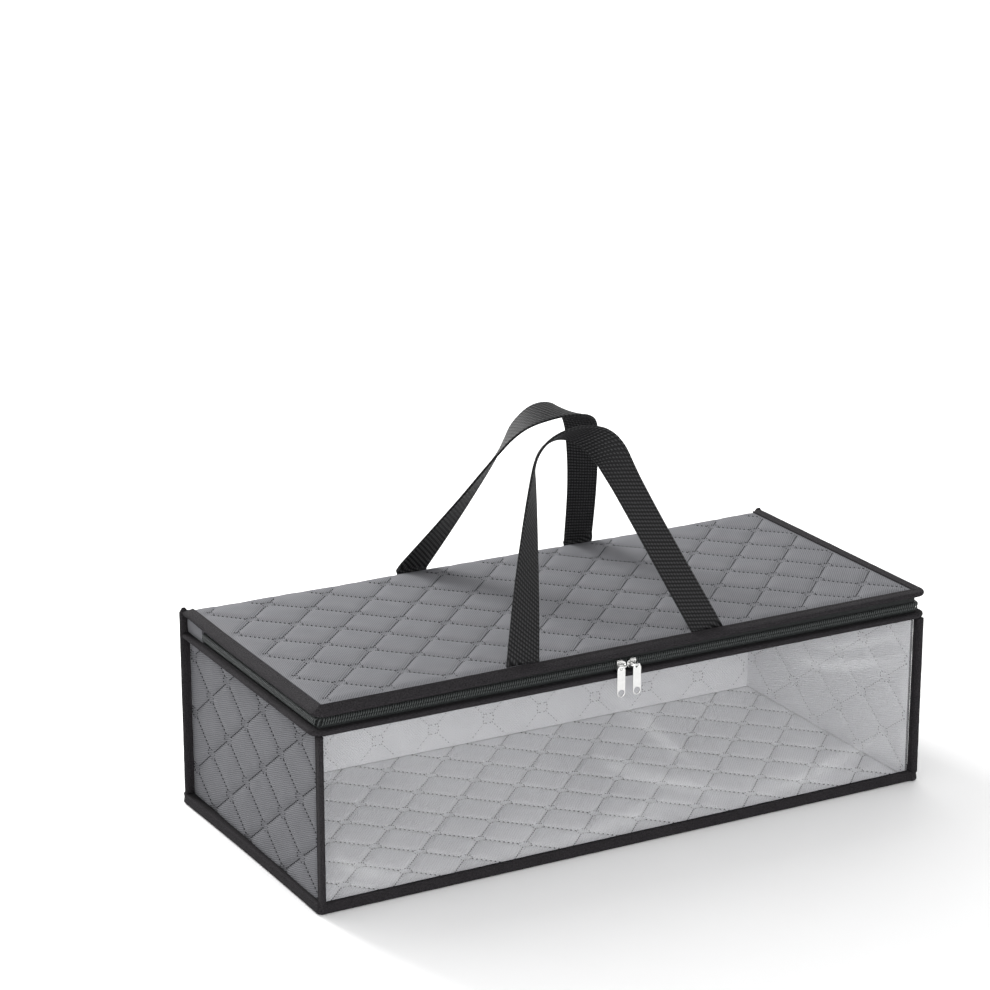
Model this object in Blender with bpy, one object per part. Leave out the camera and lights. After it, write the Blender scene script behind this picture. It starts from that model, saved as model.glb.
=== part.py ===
"""A zipped carrier case for baseball caps: quilted walls, a clear front, bound seams and two webbing handles.

The origin is the centre of the base, +Z is up and the clear front faces -Y. Lengths are in metres.
"""

import math

import bmesh
import bpy
from mathutils import Vector

# The case's box, over the outer faces of its walls
CASE_LENGTH = 0.530
CASE_DEPTH = 0.238
CASE_HEIGHT = 0.165
PIECE_GAP = 0.0003

# Quilted walls: laminated cloth with puffed diamonds between rows of stitches
WALL_THICKNESS = 0.0022
QUILT_PUFF = 0.0010
STEPS_PER_DIAMOND = 4
LEAST_STEP_SHARE = 0.4
FOLD_RADIUS = 0.0045

# Diamonds of the lid and base, and of the two ends, with the place of one crossing on the flat panel
LID_QUILT = {"width": 0.0519, "height": 0.0525, "cross_across": -0.2315, "cross_along": 0.0317}
END_QUILT = {"width": 0.0654, "height": 0.0474, "cross_across": -0.0865, "cross_along": 0.0285}

# Clear front
FILM_THICKNESS = 0.0010

# Black tape sewn over the seams
TAPE_THICKNESS = 0.0040
LID_TAPE_WIDTH = 0.0098
LID_TAPE_RISE = 0.0003
LID_FRONT_SETBACK = 0.0010
RIM_TAPE_WIDTH = 0.0072
RIM_TAPE_DROP = 0.0190
RIM_TAPE_THICKNESS = 0.0043
BASE_TAPE_HEIGHT = 0.0088
BASE_TAPE_THICKNESS = 0.0036
BASE_TAPE_SPLAY = 0.0035
PANEL_CORNER_RADIUS = 0.0005
CORNER_TAPE_WIDTH = 0.0078
CORNER_TAPE_RISE = 0.0012
RUN_CORNER_RADIUS = 0.0030

# Zip between the lid and the rim
ZIP_TAPE_THICKNESS = 0.0010
ZIP_CHAIN_RISE = 0.0048
ZIP_CHAIN_HEIGHT = 0.0064
ZIP_CHAIN_THICKNESS = 0.0022
ZIP_END_LENGTH = 0.033
ZIP_END_THICKNESS = 0.0018

# Sliders and their pull tabs
SLIDER_MEETING_X = -0.0092
SLIDER_WIDTH = 0.0082
SLIDER_PLATE = 0.0015
SLIDER_LIP = 0.0007
SLIDER_SPACING = 0.0092
BRIDGE_RADIUS = 0.0008
BRIDGE_STAND_OFF = 0.0042
BRIDGE_SPAN = 0.0076
BRIDGE_CORNER = 0.0012
PULL_WIDTH = 0.0070
PULL_LENGTH = 0.0240
PULL_THICKNESS = 0.0012
PULL_HOLE_RADIUS = 0.0024
PULL_CLEARANCE = 0.0003
KNUCKLE_WALL = 0.0009
KNUCKLE_WIDTH = 0.0042

# Webbing handles
WEBBING_WIDTH = 0.027
WEBBING_THICKNESS = 0.0018
FRONT_HANDLE = {"centre": -0.013, "half_span": 0.0812, "rise": 0.1505, "reach": 0.070, "offset": -0.004}
BACK_HANDLE = {"centre": 0.0119, "half_span": 0.0783, "rise": 0.135, "reach": 0.057, "offset": 0.019}
HANDLE_TOP_RADIUS = 0.037
SEWN_END_LENGTH = 0.035
HANDLE_STEPS = 48
WEBBING_EDGE = 0.0005
SEWN_END_ROWS = (1.0, 0.5, 0.08)

# How far the webbing is turned about its own run: (share of the loop's length, degrees)
FRONT_TWIST = [(0, 0), (0.2, -30), (0.36, -57), (0.48, -84), (0.54, -68), (0.6, -26), (0.68, 0), (1, 0)]
BACK_TWIST = [(0, 0), (0.2, -28), (0.32, -45), (0.42, -80), (0.48, -88), (0.54, -70), (0.64, -18), (1, 0)]

# How far the lid's tape droops: (share of its run from the left rear round the front, degrees)
LID_TAPE_DROOP = [(0, 8), (0.1, 30), (0.24, 36), (0.5, 20), (0.75, 4), (1, 0)]

# The upright tapes: (name, side of the case, front or back, degrees that its tip leans off the wall's normal)
CORNER_TAPES = [
    ("corner_binding_front_left", -1, -1, 0),
    ("corner_binding_front_right", 1, -1, 18),
    ("corner_binding_back_left", -1, 1, 0),
    ("corner_binding_back_right", 1, 1, 0),
]


def clear_scene():
    for old in list(bpy.data.objects):
        bpy.data.objects.remove(old, do_unlink=True)


def make_material(name, colour, roughness, metallic=0.0, alpha=1.0):
    material = bpy.data.materials.new(name)
    material.use_nodes = True
    shader = material.node_tree.nodes["Principled BSDF"]
    shader.inputs["Base Color"].default_value = (*colour, 1.0)
    shader.inputs["Roughness"].default_value = roughness
    shader.inputs["Metallic"].default_value = metallic
    shader.inputs["Alpha"].default_value = alpha
    return material


def add_object(name, mesh_data, material, parent=None):
    """Makes one named object from a bmesh, with its faces turned outwards."""
    bmesh.ops.recalc_face_normals(mesh_data, faces=mesh_data.faces)
    mesh = bpy.data.meshes.new(name)
    mesh_data.to_mesh(mesh)
    mesh_data.free()
    mesh.materials.append(material)
    mesh.shade_smooth()
    mesh.set_sharp_from_angle(angle=math.radians(35))
    made = bpy.data.objects.new(name, mesh)
    bpy.context.scene.collection.objects.link(made)
    made.parent = parent
    return made


def read_table(table, share):
    """Eases between the rows of a short table of (share, value)."""
    for (low, first), (high, second) in zip(table, table[1:]):
        if share <= high:
            part = (share - low) / (high - low)
            return first + (second - first) * part * part * (3 - 2 * part)
    return table[-1][1]


def follow_table(table, share):
    """Curves through the rows of a short table of (share, value) without a pause at each."""
    last = len(table) - 1
    for i in range(last):
        (low, first), (high, second) = table[i], table[i + 1]
        if share <= high:
            before, after = table[max(i - 1, 0)], table[min(i + 2, last)]
            start_slope = (second - before[1]) / (high - before[0]) * (high - low)
            end_slope = (after[1] - first) / (after[0] - low) * (high - low)
            t = (share - low) / (high - low)
            value = first * (1 + 2 * t) * (1 - t) ** 2 + second * t * t * (3 - 2 * t)
            return value + start_slope * t * (1 - t) ** 2 - end_slope * t * t * (1 - t)
    return table[-1][1]


def loft(name, rings, material, closed=False, parent=None):
    """Joins rings of equal length into one closed body; an open run gets a cap at each end."""
    mesh_data = bmesh.new()
    made = [[mesh_data.verts.new(point) for point in ring] for ring in rings]
    pairs = list(zip(made, made[1:]))
    if closed:
        pairs.append((made[-1], made[0]))
    for first, second in pairs:
        for i in range(len(first)):
            j = (i + 1) % len(first)
            mesh_data.faces.new((first[i], first[j], second[j], second[i]))
    if not closed:
        mesh_data.faces.new(made[0])
        mesh_data.faces.new(made[-1])
    return add_object(name, mesh_data, material, parent)


def wall_run(half_x, front_y, back_y, radius, closed=False, steps=(8, 16)):
    """Stations round the case in plan, from the left rear by the front to the right rear.

    Each is (point on the wall, outward direction, share of the run). A closed run goes round the back too.
    """
    side_steps, front_steps = steps
    corners = [(-half_x, front_y, 180), (half_x, front_y, 270)]
    if closed:
        corners += [(half_x, back_y, 0), (-half_x, back_y, 90)]
    points = []
    if not closed:
        for i in range(side_steps):
            y = back_y + (front_y + radius - back_y) * i / side_steps
            points.append((Vector((-half_x, y, 0)), Vector((-1, 0, 0))))
    for index, (x, y, start) in enumerate(corners):
        centre = Vector((x - math.copysign(radius, x), y + (radius if y == front_y else -radius), 0))
        for i in range(5):
            angle = math.radians(start + 90 * i / 4)
            out = Vector((math.cos(angle), math.sin(angle), 0))
            points.append((centre + out * radius, out))
        if index == 0 and not closed:
            for i in range(1, front_steps):
                x_now = -half_x + radius + (2 * half_x - 2 * radius) * i / front_steps
                points.append((Vector((x_now, front_y, 0)), Vector((0, -1, 0))))
    if not closed:
        for i in range(1, side_steps + 1):
            y = front_y + radius + (back_y - front_y - radius) * i / side_steps
            points.append((Vector((half_x, y, 0)), Vector((1, 0, 0))))
    lengths = [0.0]
    for (a, _), (b, _) in zip(points, points[1:]):
        lengths.append(lengths[-1] + (b - a).length)
    return [(point, out, length / lengths[-1]) for (point, out), length in zip(points, lengths)]


def place_section(section, point, out):
    """Puts a section of (outward, up) pairs at a station of a run."""
    return [point + out * along + Vector((0, 0, up)) for along, up in section]


def drooping_tape(width, thickness, droop, top):
    """The section of a folded tape: upright at its sewn end, round at its tip, and drooping outwards."""
    slope = math.radians(droop)
    half = thickness / 2
    middle = top - half / math.cos(slope)
    reach = width - half
    tip = Vector((PIECE_GAP + reach * math.cos(slope), middle - reach * math.sin(slope)))
    section = [(PIECE_GAP, middle - half / math.cos(slope))]
    for degrees in (-90, -40, 0, 40, 90):
        angle = math.radians(degrees) - slope
        section.append((tip.x + half * math.cos(angle), tip.y + half * math.sin(angle)))
    section.append((PIECE_GAP, top))
    return section


def quilt_relief(across, along, panel, quilt):
    """Height of the padding at a point of a panel, nothing on the stitch lines and along the edges."""
    width, length = panel
    edge = min(across + width / 2, width / 2 - across, along, length - along)
    if edge < 1e-6:
        return 0.0
    u = (across - quilt["cross_across"]) / (quilt["width"] / 2) + 1
    v = (along - quilt["cross_along"]) / (quilt["height"] / 2)
    nearest = min(abs((u + v) % 2 - 1), abs((u - v) % 2 - 1))
    fall = 1 - min(1.0, nearest)
    return QUILT_PUFF * (1 - fall * fall)


def quilt_steps(low, high, repeat, crossing):
    """Grid lines at quarters of the diamonds, with the panel's two edges."""
    step = repeat / STEPS_PER_DIAMOND
    first = math.ceil((low - crossing) / step + LEAST_STEP_SHARE)
    last = math.floor((high - crossing) / step - LEAST_STEP_SHARE)
    return [low] + [crossing + i * step for i in range(first, last + 1)] + [high]


def quilted_panel(name, width, length, place, quilt, material, extra_steps=()):
    """A padded sheet whose outer face rises in diamonds.

    place takes (across, along, height over the inner face) to a point in the case.
    """
    across_steps = quilt_steps(-width / 2, width / 2, quilt["width"], quilt["cross_across"])
    along_steps = quilt_steps(0.0, length, quilt["height"], quilt["cross_along"])
    along_steps = sorted(along_steps + list(extra_steps))
    mesh_data = bmesh.new()
    outer, inner = [], []
    for along in along_steps:
        outer.append([])
        inner.append([])
        for across in across_steps:
            height = WALL_THICKNESS + quilt_relief(across, along, (width, length), quilt)
            outer[-1].append(mesh_data.verts.new(place(across, along, height)))
            inner[-1].append(mesh_data.verts.new(place(across, along, 0.0)))
    rows, columns = len(along_steps), len(across_steps)
    for i in range(rows - 1):
        for j in range(columns - 1):
            a, b = outer[i][j], outer[i][j + 1]
            c, d = outer[i + 1][j + 1], outer[i + 1][j]
            mesh_data.faces.new((a, b, c, d))
            mesh_data.faces.new((inner[i][j], inner[i + 1][j], inner[i + 1][j + 1], inner[i][j + 1]))
    border = [(0, j) for j in range(columns)] + [(i, columns - 1) for i in range(1, rows)]
    border += [(rows - 1, j) for j in range(columns - 2, -1, -1)] + [(i, 0) for i in range(rows - 2, 0, -1)]
    for (i, j), (k, m) in zip(border, border[1:] + border[:1]):
        mesh_data.faces.new((outer[i][j], inner[i][j], inner[k][m], outer[k][m]))
    return add_object(name, mesh_data, material)


# Places worked out from the sizes above
HALF_LENGTH = CASE_LENGTH / 2
FRONT_Y = -CASE_DEPTH / 2
BACK_Y = CASE_DEPTH / 2
RIM_TAPE_TOP = CASE_HEIGHT - RIM_TAPE_DROP
ZIP_BAND_BOTTOM = RIM_TAPE_TOP - RIM_TAPE_THICKNESS
ZIP_CHAIN_CENTRE = RIM_TAPE_TOP + ZIP_CHAIN_RISE
FULL_WALL = WALL_THICKNESS + QUILT_PUFF
WALL_FOOT = FULL_WALL + PIECE_GAP
WALL_TOP = ZIP_BAND_BOTTOM - PIECE_GAP
SHEET_HALF_WIDTH = HALF_LENGTH - FULL_WALL - PIECE_GAP
LID_FRONT_Y = FRONT_Y + LID_FRONT_SETBACK
RUN_BACK_Y = BACK_Y - TAPE_THICKNESS - PIECE_GAP
ZIP_END_Y = BACK_Y - ZIP_END_LENGTH


def build_panels(cloth):
    """Base, two ends, and the one sheet that is the lid and the back."""
    inner_fold = FOLD_RADIUS - FULL_WALL
    lid_inside = CASE_HEIGHT - FULL_WALL
    lid_run = BACK_Y - FOLD_RADIUS - LID_FRONT_Y
    fold_run = inner_fold * math.pi / 2
    back_run = CASE_HEIGHT - FOLD_RADIUS - WALL_FOOT

    def on_sheet(across, along, height):
        if along <= lid_run:
            return Vector((across, LID_FRONT_Y + along, lid_inside + height))
        if along >= lid_run + fold_run:
            drop = along - lid_run - fold_run
            return Vector((across, BACK_Y - FULL_WALL + height, CASE_HEIGHT - FOLD_RADIUS - drop))
        angle = (along - lid_run) / inner_fold
        radius = inner_fold + height
        middle = Vector((across, BACK_Y - FOLD_RADIUS, CASE_HEIGHT - FOLD_RADIUS))
        return middle + Vector((0, math.sin(angle), math.cos(angle))) * radius

    fold_steps = [lid_run + fold_run * i / 3 for i in range(4)]
    sheet_width = 2 * SHEET_HALF_WIDTH
    sheet_length = lid_run + fold_run + back_run
    quilted_panel("lid_and_back_panel", sheet_width, sheet_length, on_sheet, LID_QUILT, cloth, fold_steps)

    def on_base(across, along, height):
        return Vector((across, FRONT_Y + along, height))

    quilted_panel("bottom_panel", CASE_LENGTH, CASE_DEPTH, on_base, LID_QUILT, cloth)

    end_front = FRONT_Y + FILM_THICKNESS + PIECE_GAP
    end_depth = BACK_Y - end_front
    for side, name in ((-1, "left_side_panel"), (1, "right_side_panel")):

        def on_end(across, along, height, side=side):
            y = end_front + end_depth / 2 + across
            return Vector((side * (HALF_LENGTH - FULL_WALL + height), y, WALL_FOOT + along))

        quilted_panel(name, end_depth, WALL_TOP - WALL_FOOT, on_end, END_QUILT, cloth)


def build_window(film):
    """The clear sheet over the whole front, from the base to the zip."""
    rings = []
    for z in (WALL_FOOT, WALL_TOP):
        corners = [(-1, 0), (1, 0), (1, 1), (-1, 1)]
        rings.append(
            [Vector((side * HALF_LENGTH, FRONT_Y + deep * FILM_THICKNESS, z)) for side, deep in corners]
        )
    loft("front_window", rings, film)


def lid_tape_underside(share, out):
    """Height of the lid tape's lower face, at a distance out from the lid's edge."""
    slope = math.radians(read_table(LID_TAPE_DROOP, share))
    top = CASE_HEIGHT + LID_TAPE_RISE
    return top - TAPE_THICKNESS / math.cos(slope) - max(0.0, out - PIECE_GAP) * math.tan(slope)


def build_seam_tapes(tape):
    """Folded tape over each seam: lid, rim, base and the four upright corners."""
    lid_run = wall_run(SHEET_HALF_WIDTH, LID_FRONT_Y, RUN_BACK_Y, PANEL_CORNER_RADIUS)
    rings = []
    for point, out, share in lid_run:
        droop = read_table(LID_TAPE_DROOP, share)
        section = drooping_tape(LID_TAPE_WIDTH, TAPE_THICKNESS, droop, CASE_HEIGHT + LID_TAPE_RISE)
        rings.append(place_section(section, point, out))
    loft("lid_binding", rings, tape)

    rim_section = drooping_tape(RIM_TAPE_WIDTH, RIM_TAPE_THICKNESS, 0, RIM_TAPE_TOP)
    rim_run = wall_run(HALF_LENGTH, FRONT_Y, RUN_BACK_Y, RUN_CORNER_RADIUS)
    loft("rim_binding", [place_section(rim_section, point, out) for point, out, _ in rim_run], tape)

    round_off = BASE_TAPE_THICKNESS / 3
    base_rings = []
    for point, out, _ in wall_run(HALF_LENGTH, FRONT_Y, BACK_Y, PANEL_CORNER_RADIUS, closed=True):
        splay = BASE_TAPE_SPLAY * out.x if point.x > 0 and point.y < 0 else 0.0
        near, far = PIECE_GAP, PIECE_GAP + BASE_TAPE_THICKNESS + splay
        base_section = [
            (near, 0),
            (far - round_off, 0),
            (far, round_off),
            (far, BASE_TAPE_HEIGHT - round_off),
            (far - round_off, BASE_TAPE_HEIGHT),
            (near, BASE_TAPE_HEIGHT),
        ]
        base_rings.append(place_section(base_section, point, out))
    loft("bottom_binding", base_rings, tape, closed=True)

    for name, side, end, lean in CORNER_TAPES:
        if end < 0:
            out, across = Vector((0, -1, 0)), Vector((-side, 0, 0))
            wall, edge = -FRONT_Y, -HALF_LENGTH + CORNER_TAPE_RISE
            top = RIM_TAPE_TOP - RIM_TAPE_THICKNESS - PIECE_GAP
        else:
            out, across = Vector((side, 0, 0)), Vector((0, 1, 0))
            wall, edge = HALF_LENGTH, BACK_Y
            top = CASE_HEIGHT + LID_TAPE_RISE
        section = drooping_tape(CORNER_TAPE_WIDTH, TAPE_THICKNESS, lean, edge)
        rings = []
        for z in (BASE_TAPE_HEIGHT + PIECE_GAP, top):
            foot = out * wall + Vector((0, 0, z))
            rings.append([foot + out * far_out + across * aside for far_out, aside in section])
        loft(name, rings, tape)


def build_zip(zip_cloth, cloth):
    """Two tapes, the chain sewn over their meeting edges, and the cloth that closes the band behind."""
    run = wall_run(HALF_LENGTH, FRONT_Y, RUN_BACK_Y, RUN_CORNER_RADIUS)
    sewn = PIECE_GAP / 2

    def tape_section(low, high):
        return [(-ZIP_TAPE_THICKNESS, low), (0, low), (0, high), (-ZIP_TAPE_THICKNESS, high)]

    lower = tape_section(ZIP_BAND_BOTTOM, ZIP_CHAIN_CENTRE - sewn)
    loft("zip_tape_lower", [place_section(lower, point, out) for point, out, _ in run], zip_cloth)

    def reach_from_lid(out):
        if abs(out.x) > 0.5:
            return HALF_LENGTH - SHEET_HALF_WIDTH
        return LID_FRONT_Y - FRONT_Y

    rings = []
    for point, out, share in run:
        high = lid_tape_underside(share, reach_from_lid(out)) - 3 * PIECE_GAP
        rings.append(place_section(tape_section(ZIP_CHAIN_CENTRE + sewn, high), point, out))
    loft("zip_tape_upper", rings, zip_cloth)

    near, far = PIECE_GAP, PIECE_GAP + ZIP_CHAIN_THICKNESS
    low = ZIP_CHAIN_CENTRE - ZIP_CHAIN_HEIGHT / 2
    high = ZIP_CHAIN_CENTRE + ZIP_CHAIN_HEIGHT / 2
    round_off = ZIP_CHAIN_THICKNESS / 2
    chain = [
        (near, low),
        (far - round_off, low),
        (far, low + round_off),
        (far, high - round_off),
        (far - round_off, high),
        (near, high),
    ]
    chain_run = wall_run(HALF_LENGTH, FRONT_Y, ZIP_END_Y, RUN_CORNER_RADIUS)
    loft("zip_chain", [place_section(chain, point, out) for point, out, _ in chain_run], zip_cloth)

    inner, outer = PIECE_GAP, PIECE_GAP + ZIP_END_THICKNESS
    out_from_lid = HALF_LENGTH - SHEET_HALF_WIDTH + outer
    length = 2 * (RUN_BACK_Y - FRONT_Y) + CASE_LENGTH
    for side, name in ((-1, "zip_end_left"), (1, "zip_end_right")):
        rings = []
        for i in range(5):
            y = ZIP_END_Y + PIECE_GAP + (RUN_BACK_Y - ZIP_END_Y - PIECE_GAP) * i / 4
            share = (RUN_BACK_Y - y) / length
            if side > 0:
                share = 1 - share
            high = lid_tape_underside(share, out_from_lid) - 3 * PIECE_GAP
            section = [(inner, RIM_TAPE_TOP + PIECE_GAP), (outer, RIM_TAPE_TOP + PIECE_GAP)]
            section += [(outer, high), (inner, high)]
            rings.append(place_section(section, Vector((side * HALF_LENGTH, y, 0)), Vector((side, 0, 0))))
        loft(name, rings, cloth)


def round_rod(name, points, radius, material, sides=10):
    """A rod along a flat route in plan, as one closed body."""
    rings = []
    for i, point in enumerate(points):
        before, after = points[max(i - 1, 0)], points[min(i + 1, len(points) - 1)]
        forward = (after - before).normalized()
        up = Vector((0, 0, 1))
        aside = forward.cross(up)
        angles = [2 * math.pi * k / sides for k in range(sides)]
        rings.append([point + (aside * math.cos(a) + up * math.sin(a)) * radius for a in angles])
    return loft(name, rings, material)


def join_into(target, helper):
    """Fuses a helper into a piece and leaves the helper out of the model."""
    helper.hide_render = True
    helper.display_type = "WIRE"
    fuse = target.modifiers.new("fuse", "BOOLEAN")
    fuse.operation = "UNION"
    fuse.object = helper


def build_slider(side, name, metal):
    """A slider body that clasps the chain, with a rod bridge that holds the pull tab."""
    middle = SLIDER_MEETING_X + side * SLIDER_SPACING / 2
    chain_face = FRONT_Y - PIECE_GAP - ZIP_CHAIN_THICKNESS
    back = FRONT_Y - 2 * PIECE_GAP
    inner = chain_face - PIECE_GAP
    outer = inner - SLIDER_PLATE
    mouth = ZIP_CHAIN_HEIGHT / 2 + PIECE_GAP
    half = mouth + SLIDER_LIP
    bevel = SLIDER_PLATE / 3
    profile = [
        (outer, -half + bevel),
        (outer + bevel, -half),
        (back, -half),
        (back, -mouth),
        (inner, -mouth),
        (inner, mouth),
        (back, mouth),
        (back, half),
        (outer + bevel, half),
        (outer, half - bevel),
    ]
    rings = []
    for x in (middle - SLIDER_WIDTH / 2, middle + SLIDER_WIDTH / 2):
        rings.append([Vector((x, y, ZIP_CHAIN_CENTRE + up)) for y, up in profile])
    body = loft(name, rings, metal)

    bar_y = outer - BRIDGE_STAND_OFF
    reach = BRIDGE_SPAN / 2
    root_y = outer + SLIDER_PLATE / 2
    route = [Vector((middle - reach, root_y, ZIP_CHAIN_CENTRE))]
    for start, centre_x in ((180, middle - reach + BRIDGE_CORNER), (270, middle + reach - BRIDGE_CORNER)):
        for i in range(4):
            angle = math.radians(start + 30 * i)
            x = centre_x + BRIDGE_CORNER * math.cos(angle)
            y = bar_y + BRIDGE_CORNER + BRIDGE_CORNER * math.sin(angle)
            route.append(Vector((x, y, ZIP_CHAIN_CENTRE)))
    route.append(Vector((middle + reach, root_y, ZIP_CHAIN_CENTRE)))
    join_into(body, round_rod(name + "_bridge", route, BRIDGE_RADIUS, metal))
    return Vector((middle, bar_y, ZIP_CHAIN_CENTRE))


def build_pull(name, pivot, metal):
    """A flat tab with a round hole, whose curled end turns on the slider's bridge."""
    axis = bpy.data.objects.new(name + "_axis", None)
    axis.location = pivot
    bpy.context.scene.collection.objects.link(axis)

    bore = BRIDGE_RADIUS + PULL_CLEARANCE
    shell = bore + KNUCKLE_WALL
    sides = 16
    mesh_data = bmesh.new()
    rings = []
    for x, radius in (
        (-KNUCKLE_WIDTH / 2, shell),
        (KNUCKLE_WIDTH / 2, shell),
        (KNUCKLE_WIDTH / 2, bore),
        (-KNUCKLE_WIDTH / 2, bore),
    ):
        angles = [2 * math.pi * k / sides for k in range(sides)]
        rings.append([mesh_data.verts.new((x, radius * math.cos(a), radius * math.sin(a))) for a in angles])
    for first, second in zip(rings, rings[1:] + rings[:1]):
        for i in range(sides):
            j = (i + 1) % sides
            mesh_data.faces.new((first[i], first[j], second[j], second[i]))
    knuckle = add_object(name + "_knuckle", mesh_data, metal, axis)

    half = PULL_WIDTH / 2
    neck = KNUCKLE_WIDTH / 2
    top = -(bore + KNUCKLE_WALL / 2)
    shoulder = top - KNUCKLE_WIDTH / 2
    low = -PULL_LENGTH + half
    outline = [(neck, top), (half, shoulder), (half, low)]
    round_end = [math.pi * k / 12 for k in range(1, 12)]
    outline += [(half * math.cos(a), low - half * math.sin(a)) for a in round_end]
    outline += [(-half, low), (-half, shoulder), (-neck, top)]
    rings = []
    for y in (-PULL_THICKNESS / 2, PULL_THICKNESS / 2):
        rings.append([Vector((x, y, z)) for x, z in outline])
    tab = loft(name, rings, metal, parent=axis)

    hole_sides = 20
    rings = []
    for y in (-PULL_THICKNESS, PULL_THICKNESS):
        ring = []
        for k in range(hole_sides):
            angle = 2 * math.pi * k / hole_sides
            x, z = PULL_HOLE_RADIUS * math.cos(angle), PULL_HOLE_RADIUS * math.sin(angle)
            ring.append(Vector((x, y, low + z)))
        rings.append(ring)
    cutter = loft(name + "_hole", rings, metal, parent=axis)
    cutter.hide_render = True
    cutter.display_type = "WIRE"
    join_into(tab, knuckle)
    cut = tab.modifiers.new("hole", "BOOLEAN")
    cut.operation = "DIFFERENCE"
    cut.object = cutter


def arch_run(half_span, height, radius):
    """Leg, round top and leg of a handle in its own plane: (share of the run, place, forward direction)."""
    low, high = 0.0, math.pi / 2 - 0.2
    for _ in range(50):
        lean = (low + high) / 2
        reach = radius * math.cos(lean) + (height - radius + radius * math.sin(lean)) * math.tan(lean)
        if reach < half_span:
            low = lean
        else:
            high = lean
    knee = Vector((radius * math.cos(lean), height - radius + radius * math.sin(lean)))
    leg = knee.y / math.cos(lean)
    top = radius * (math.pi - 2 * lean)
    length = 2 * leg + top
    run = []
    for i in range(HANDLE_STEPS + 1):
        gone = length * i / HANDLE_STEPS
        if gone < leg:
            part = gone / leg
            place = Vector((-half_span + (half_span - knee.x) * part, knee.y * part))
            forward = Vector((math.sin(lean), math.cos(lean)))
        elif gone <= leg + top:
            angle = math.pi - lean - (gone - leg) / radius
            place = Vector((radius * math.cos(angle), height - radius + radius * math.sin(angle)))
            forward = Vector((math.sin(angle), -math.cos(angle)))
        else:
            part = (length - gone) / leg
            place = Vector((half_span - (half_span - knee.x) * part, knee.y * part))
            forward = Vector((math.sin(lean), -math.cos(lean)))
        run.append((i / HANDLE_STEPS, place, forward))
    return run


def build_handle(name, sizes, twist, foot, towards, sewn_length, webbing):
    """A webbing loop that leans over the lid, turned about its own run as the table says."""
    height = math.hypot(sizes["rise"], sizes["reach"])
    up = Vector((0, towards * sizes["reach"] / height, sizes["rise"] / height))
    across = Vector((1, 0, 0))
    normal = across.cross(up).normalized()
    half_width, half_thickness = WEBBING_WIDTH / 2, WEBBING_THICKNESS / 2
    flat, side = half_width - WEBBING_EDGE, half_thickness - WEBBING_EDGE
    section = [(-half_width, -side), (-flat, -half_thickness), (flat, -half_thickness), (half_width, -side)]
    section += [(-w, -t) for w, t in section]
    rings = []
    for share, place, forward in arch_run(sizes["half_span"], height, HANDLE_TOP_RADIUS):
        aside = sizes["offset"] * math.sin(math.pi / 2 * min(1.0, place.y / height))
        middle = foot + across * (place.x + aside) + up * place.y
        run = across * forward.x + up * forward.y
        inward = across * forward.y - up * forward.x
        turn = math.radians(follow_table(twist, share))
        wide = inward * math.cos(turn) + normal * math.sin(turn)
        thick = run.cross(wide)
        ring = [middle + wide * w + thick * t for w, t in section]
        if share in (0.0, 1.0):
            ring = [point - run * ((point.z - foot.z) / run.z) for point in ring]
        rings.append(ring)
    if sewn_length:
        down = Vector((0, 0, -1))
        for end, order in ((0, 1), (-1, -1)):
            side = -1 if end == 0 else 1
            start = foot + across * (side * sizes["half_span"])
            wide = across * -side
            thick = (down * -1 if end == 0 else down).cross(wide)
            extra = []
            for part in SEWN_END_ROWS:
                middle = start + down * sewn_length * part
                extra.append([middle + wide * w + thick * t for w, t in section])
            rings = extra + rings if end == 0 else rings + extra[::-1]
    loft(name, rings, webbing)


def build_handles(webbing):
    """The front loop is sewn in at the lid's front edge, the back one down the outside of the back."""
    front_foot = Vector((
        FRONT_HANDLE["centre"],
        LID_FRONT_Y + WEBBING_THICKNESS / 2 + PIECE_GAP,
        CASE_HEIGHT - QUILT_PUFF + 2 * PIECE_GAP,
    ))
    build_handle("handle_front", FRONT_HANDLE, FRONT_TWIST, front_foot, 1, 0.0, webbing)
    back_foot = Vector((BACK_HANDLE["centre"], BACK_Y + WEBBING_THICKNESS / 2 + PIECE_GAP, CASE_HEIGHT))
    build_handle("handle_back", BACK_HANDLE, BACK_TWIST, back_foot, -1, SEWN_END_LENGTH, webbing)


def main():
    clear_scene()
    cloth = make_material("quilted_cloth", (0.21, 0.21, 0.22), 0.85)
    tape = make_material("seam_tape", (0.020, 0.019, 0.020), 0.9)
    zip_cloth = make_material("zip_cloth", (0.022, 0.024, 0.024), 0.6)
    film = make_material("clear_film", (0.95, 0.96, 0.97), 0.1, alpha=0.25)
    metal = make_material("slider_metal", (0.75, 0.75, 0.74), 0.25, metallic=1.0)
    webbing = make_material("webbing", (0.018, 0.018, 0.019), 0.8)
    build_panels(cloth)
    build_window(film)
    build_seam_tapes(tape)
    build_zip(zip_cloth, cloth)
    for side, word in ((-1, "left"), (1, "right")):
        pivot = build_slider(side, "slider_" + word, metal)
        build_pull("pull_" + word, pivot, metal)
    build_handles(webbing)


main()
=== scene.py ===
"""The finished look of a zipped carrier case for baseball caps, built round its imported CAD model.

Quilted cloth walls, stitches, seam tape, zip, sliders, webbing handles and a clear front, with a pale floor,
soft light and a camera. Lengths are in metres, +Z is up and the clear front faces -Y.
"""

import math

import bmesh
import bpy
import numpy as np
from mathutils import Matrix, Vector, noise


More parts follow.
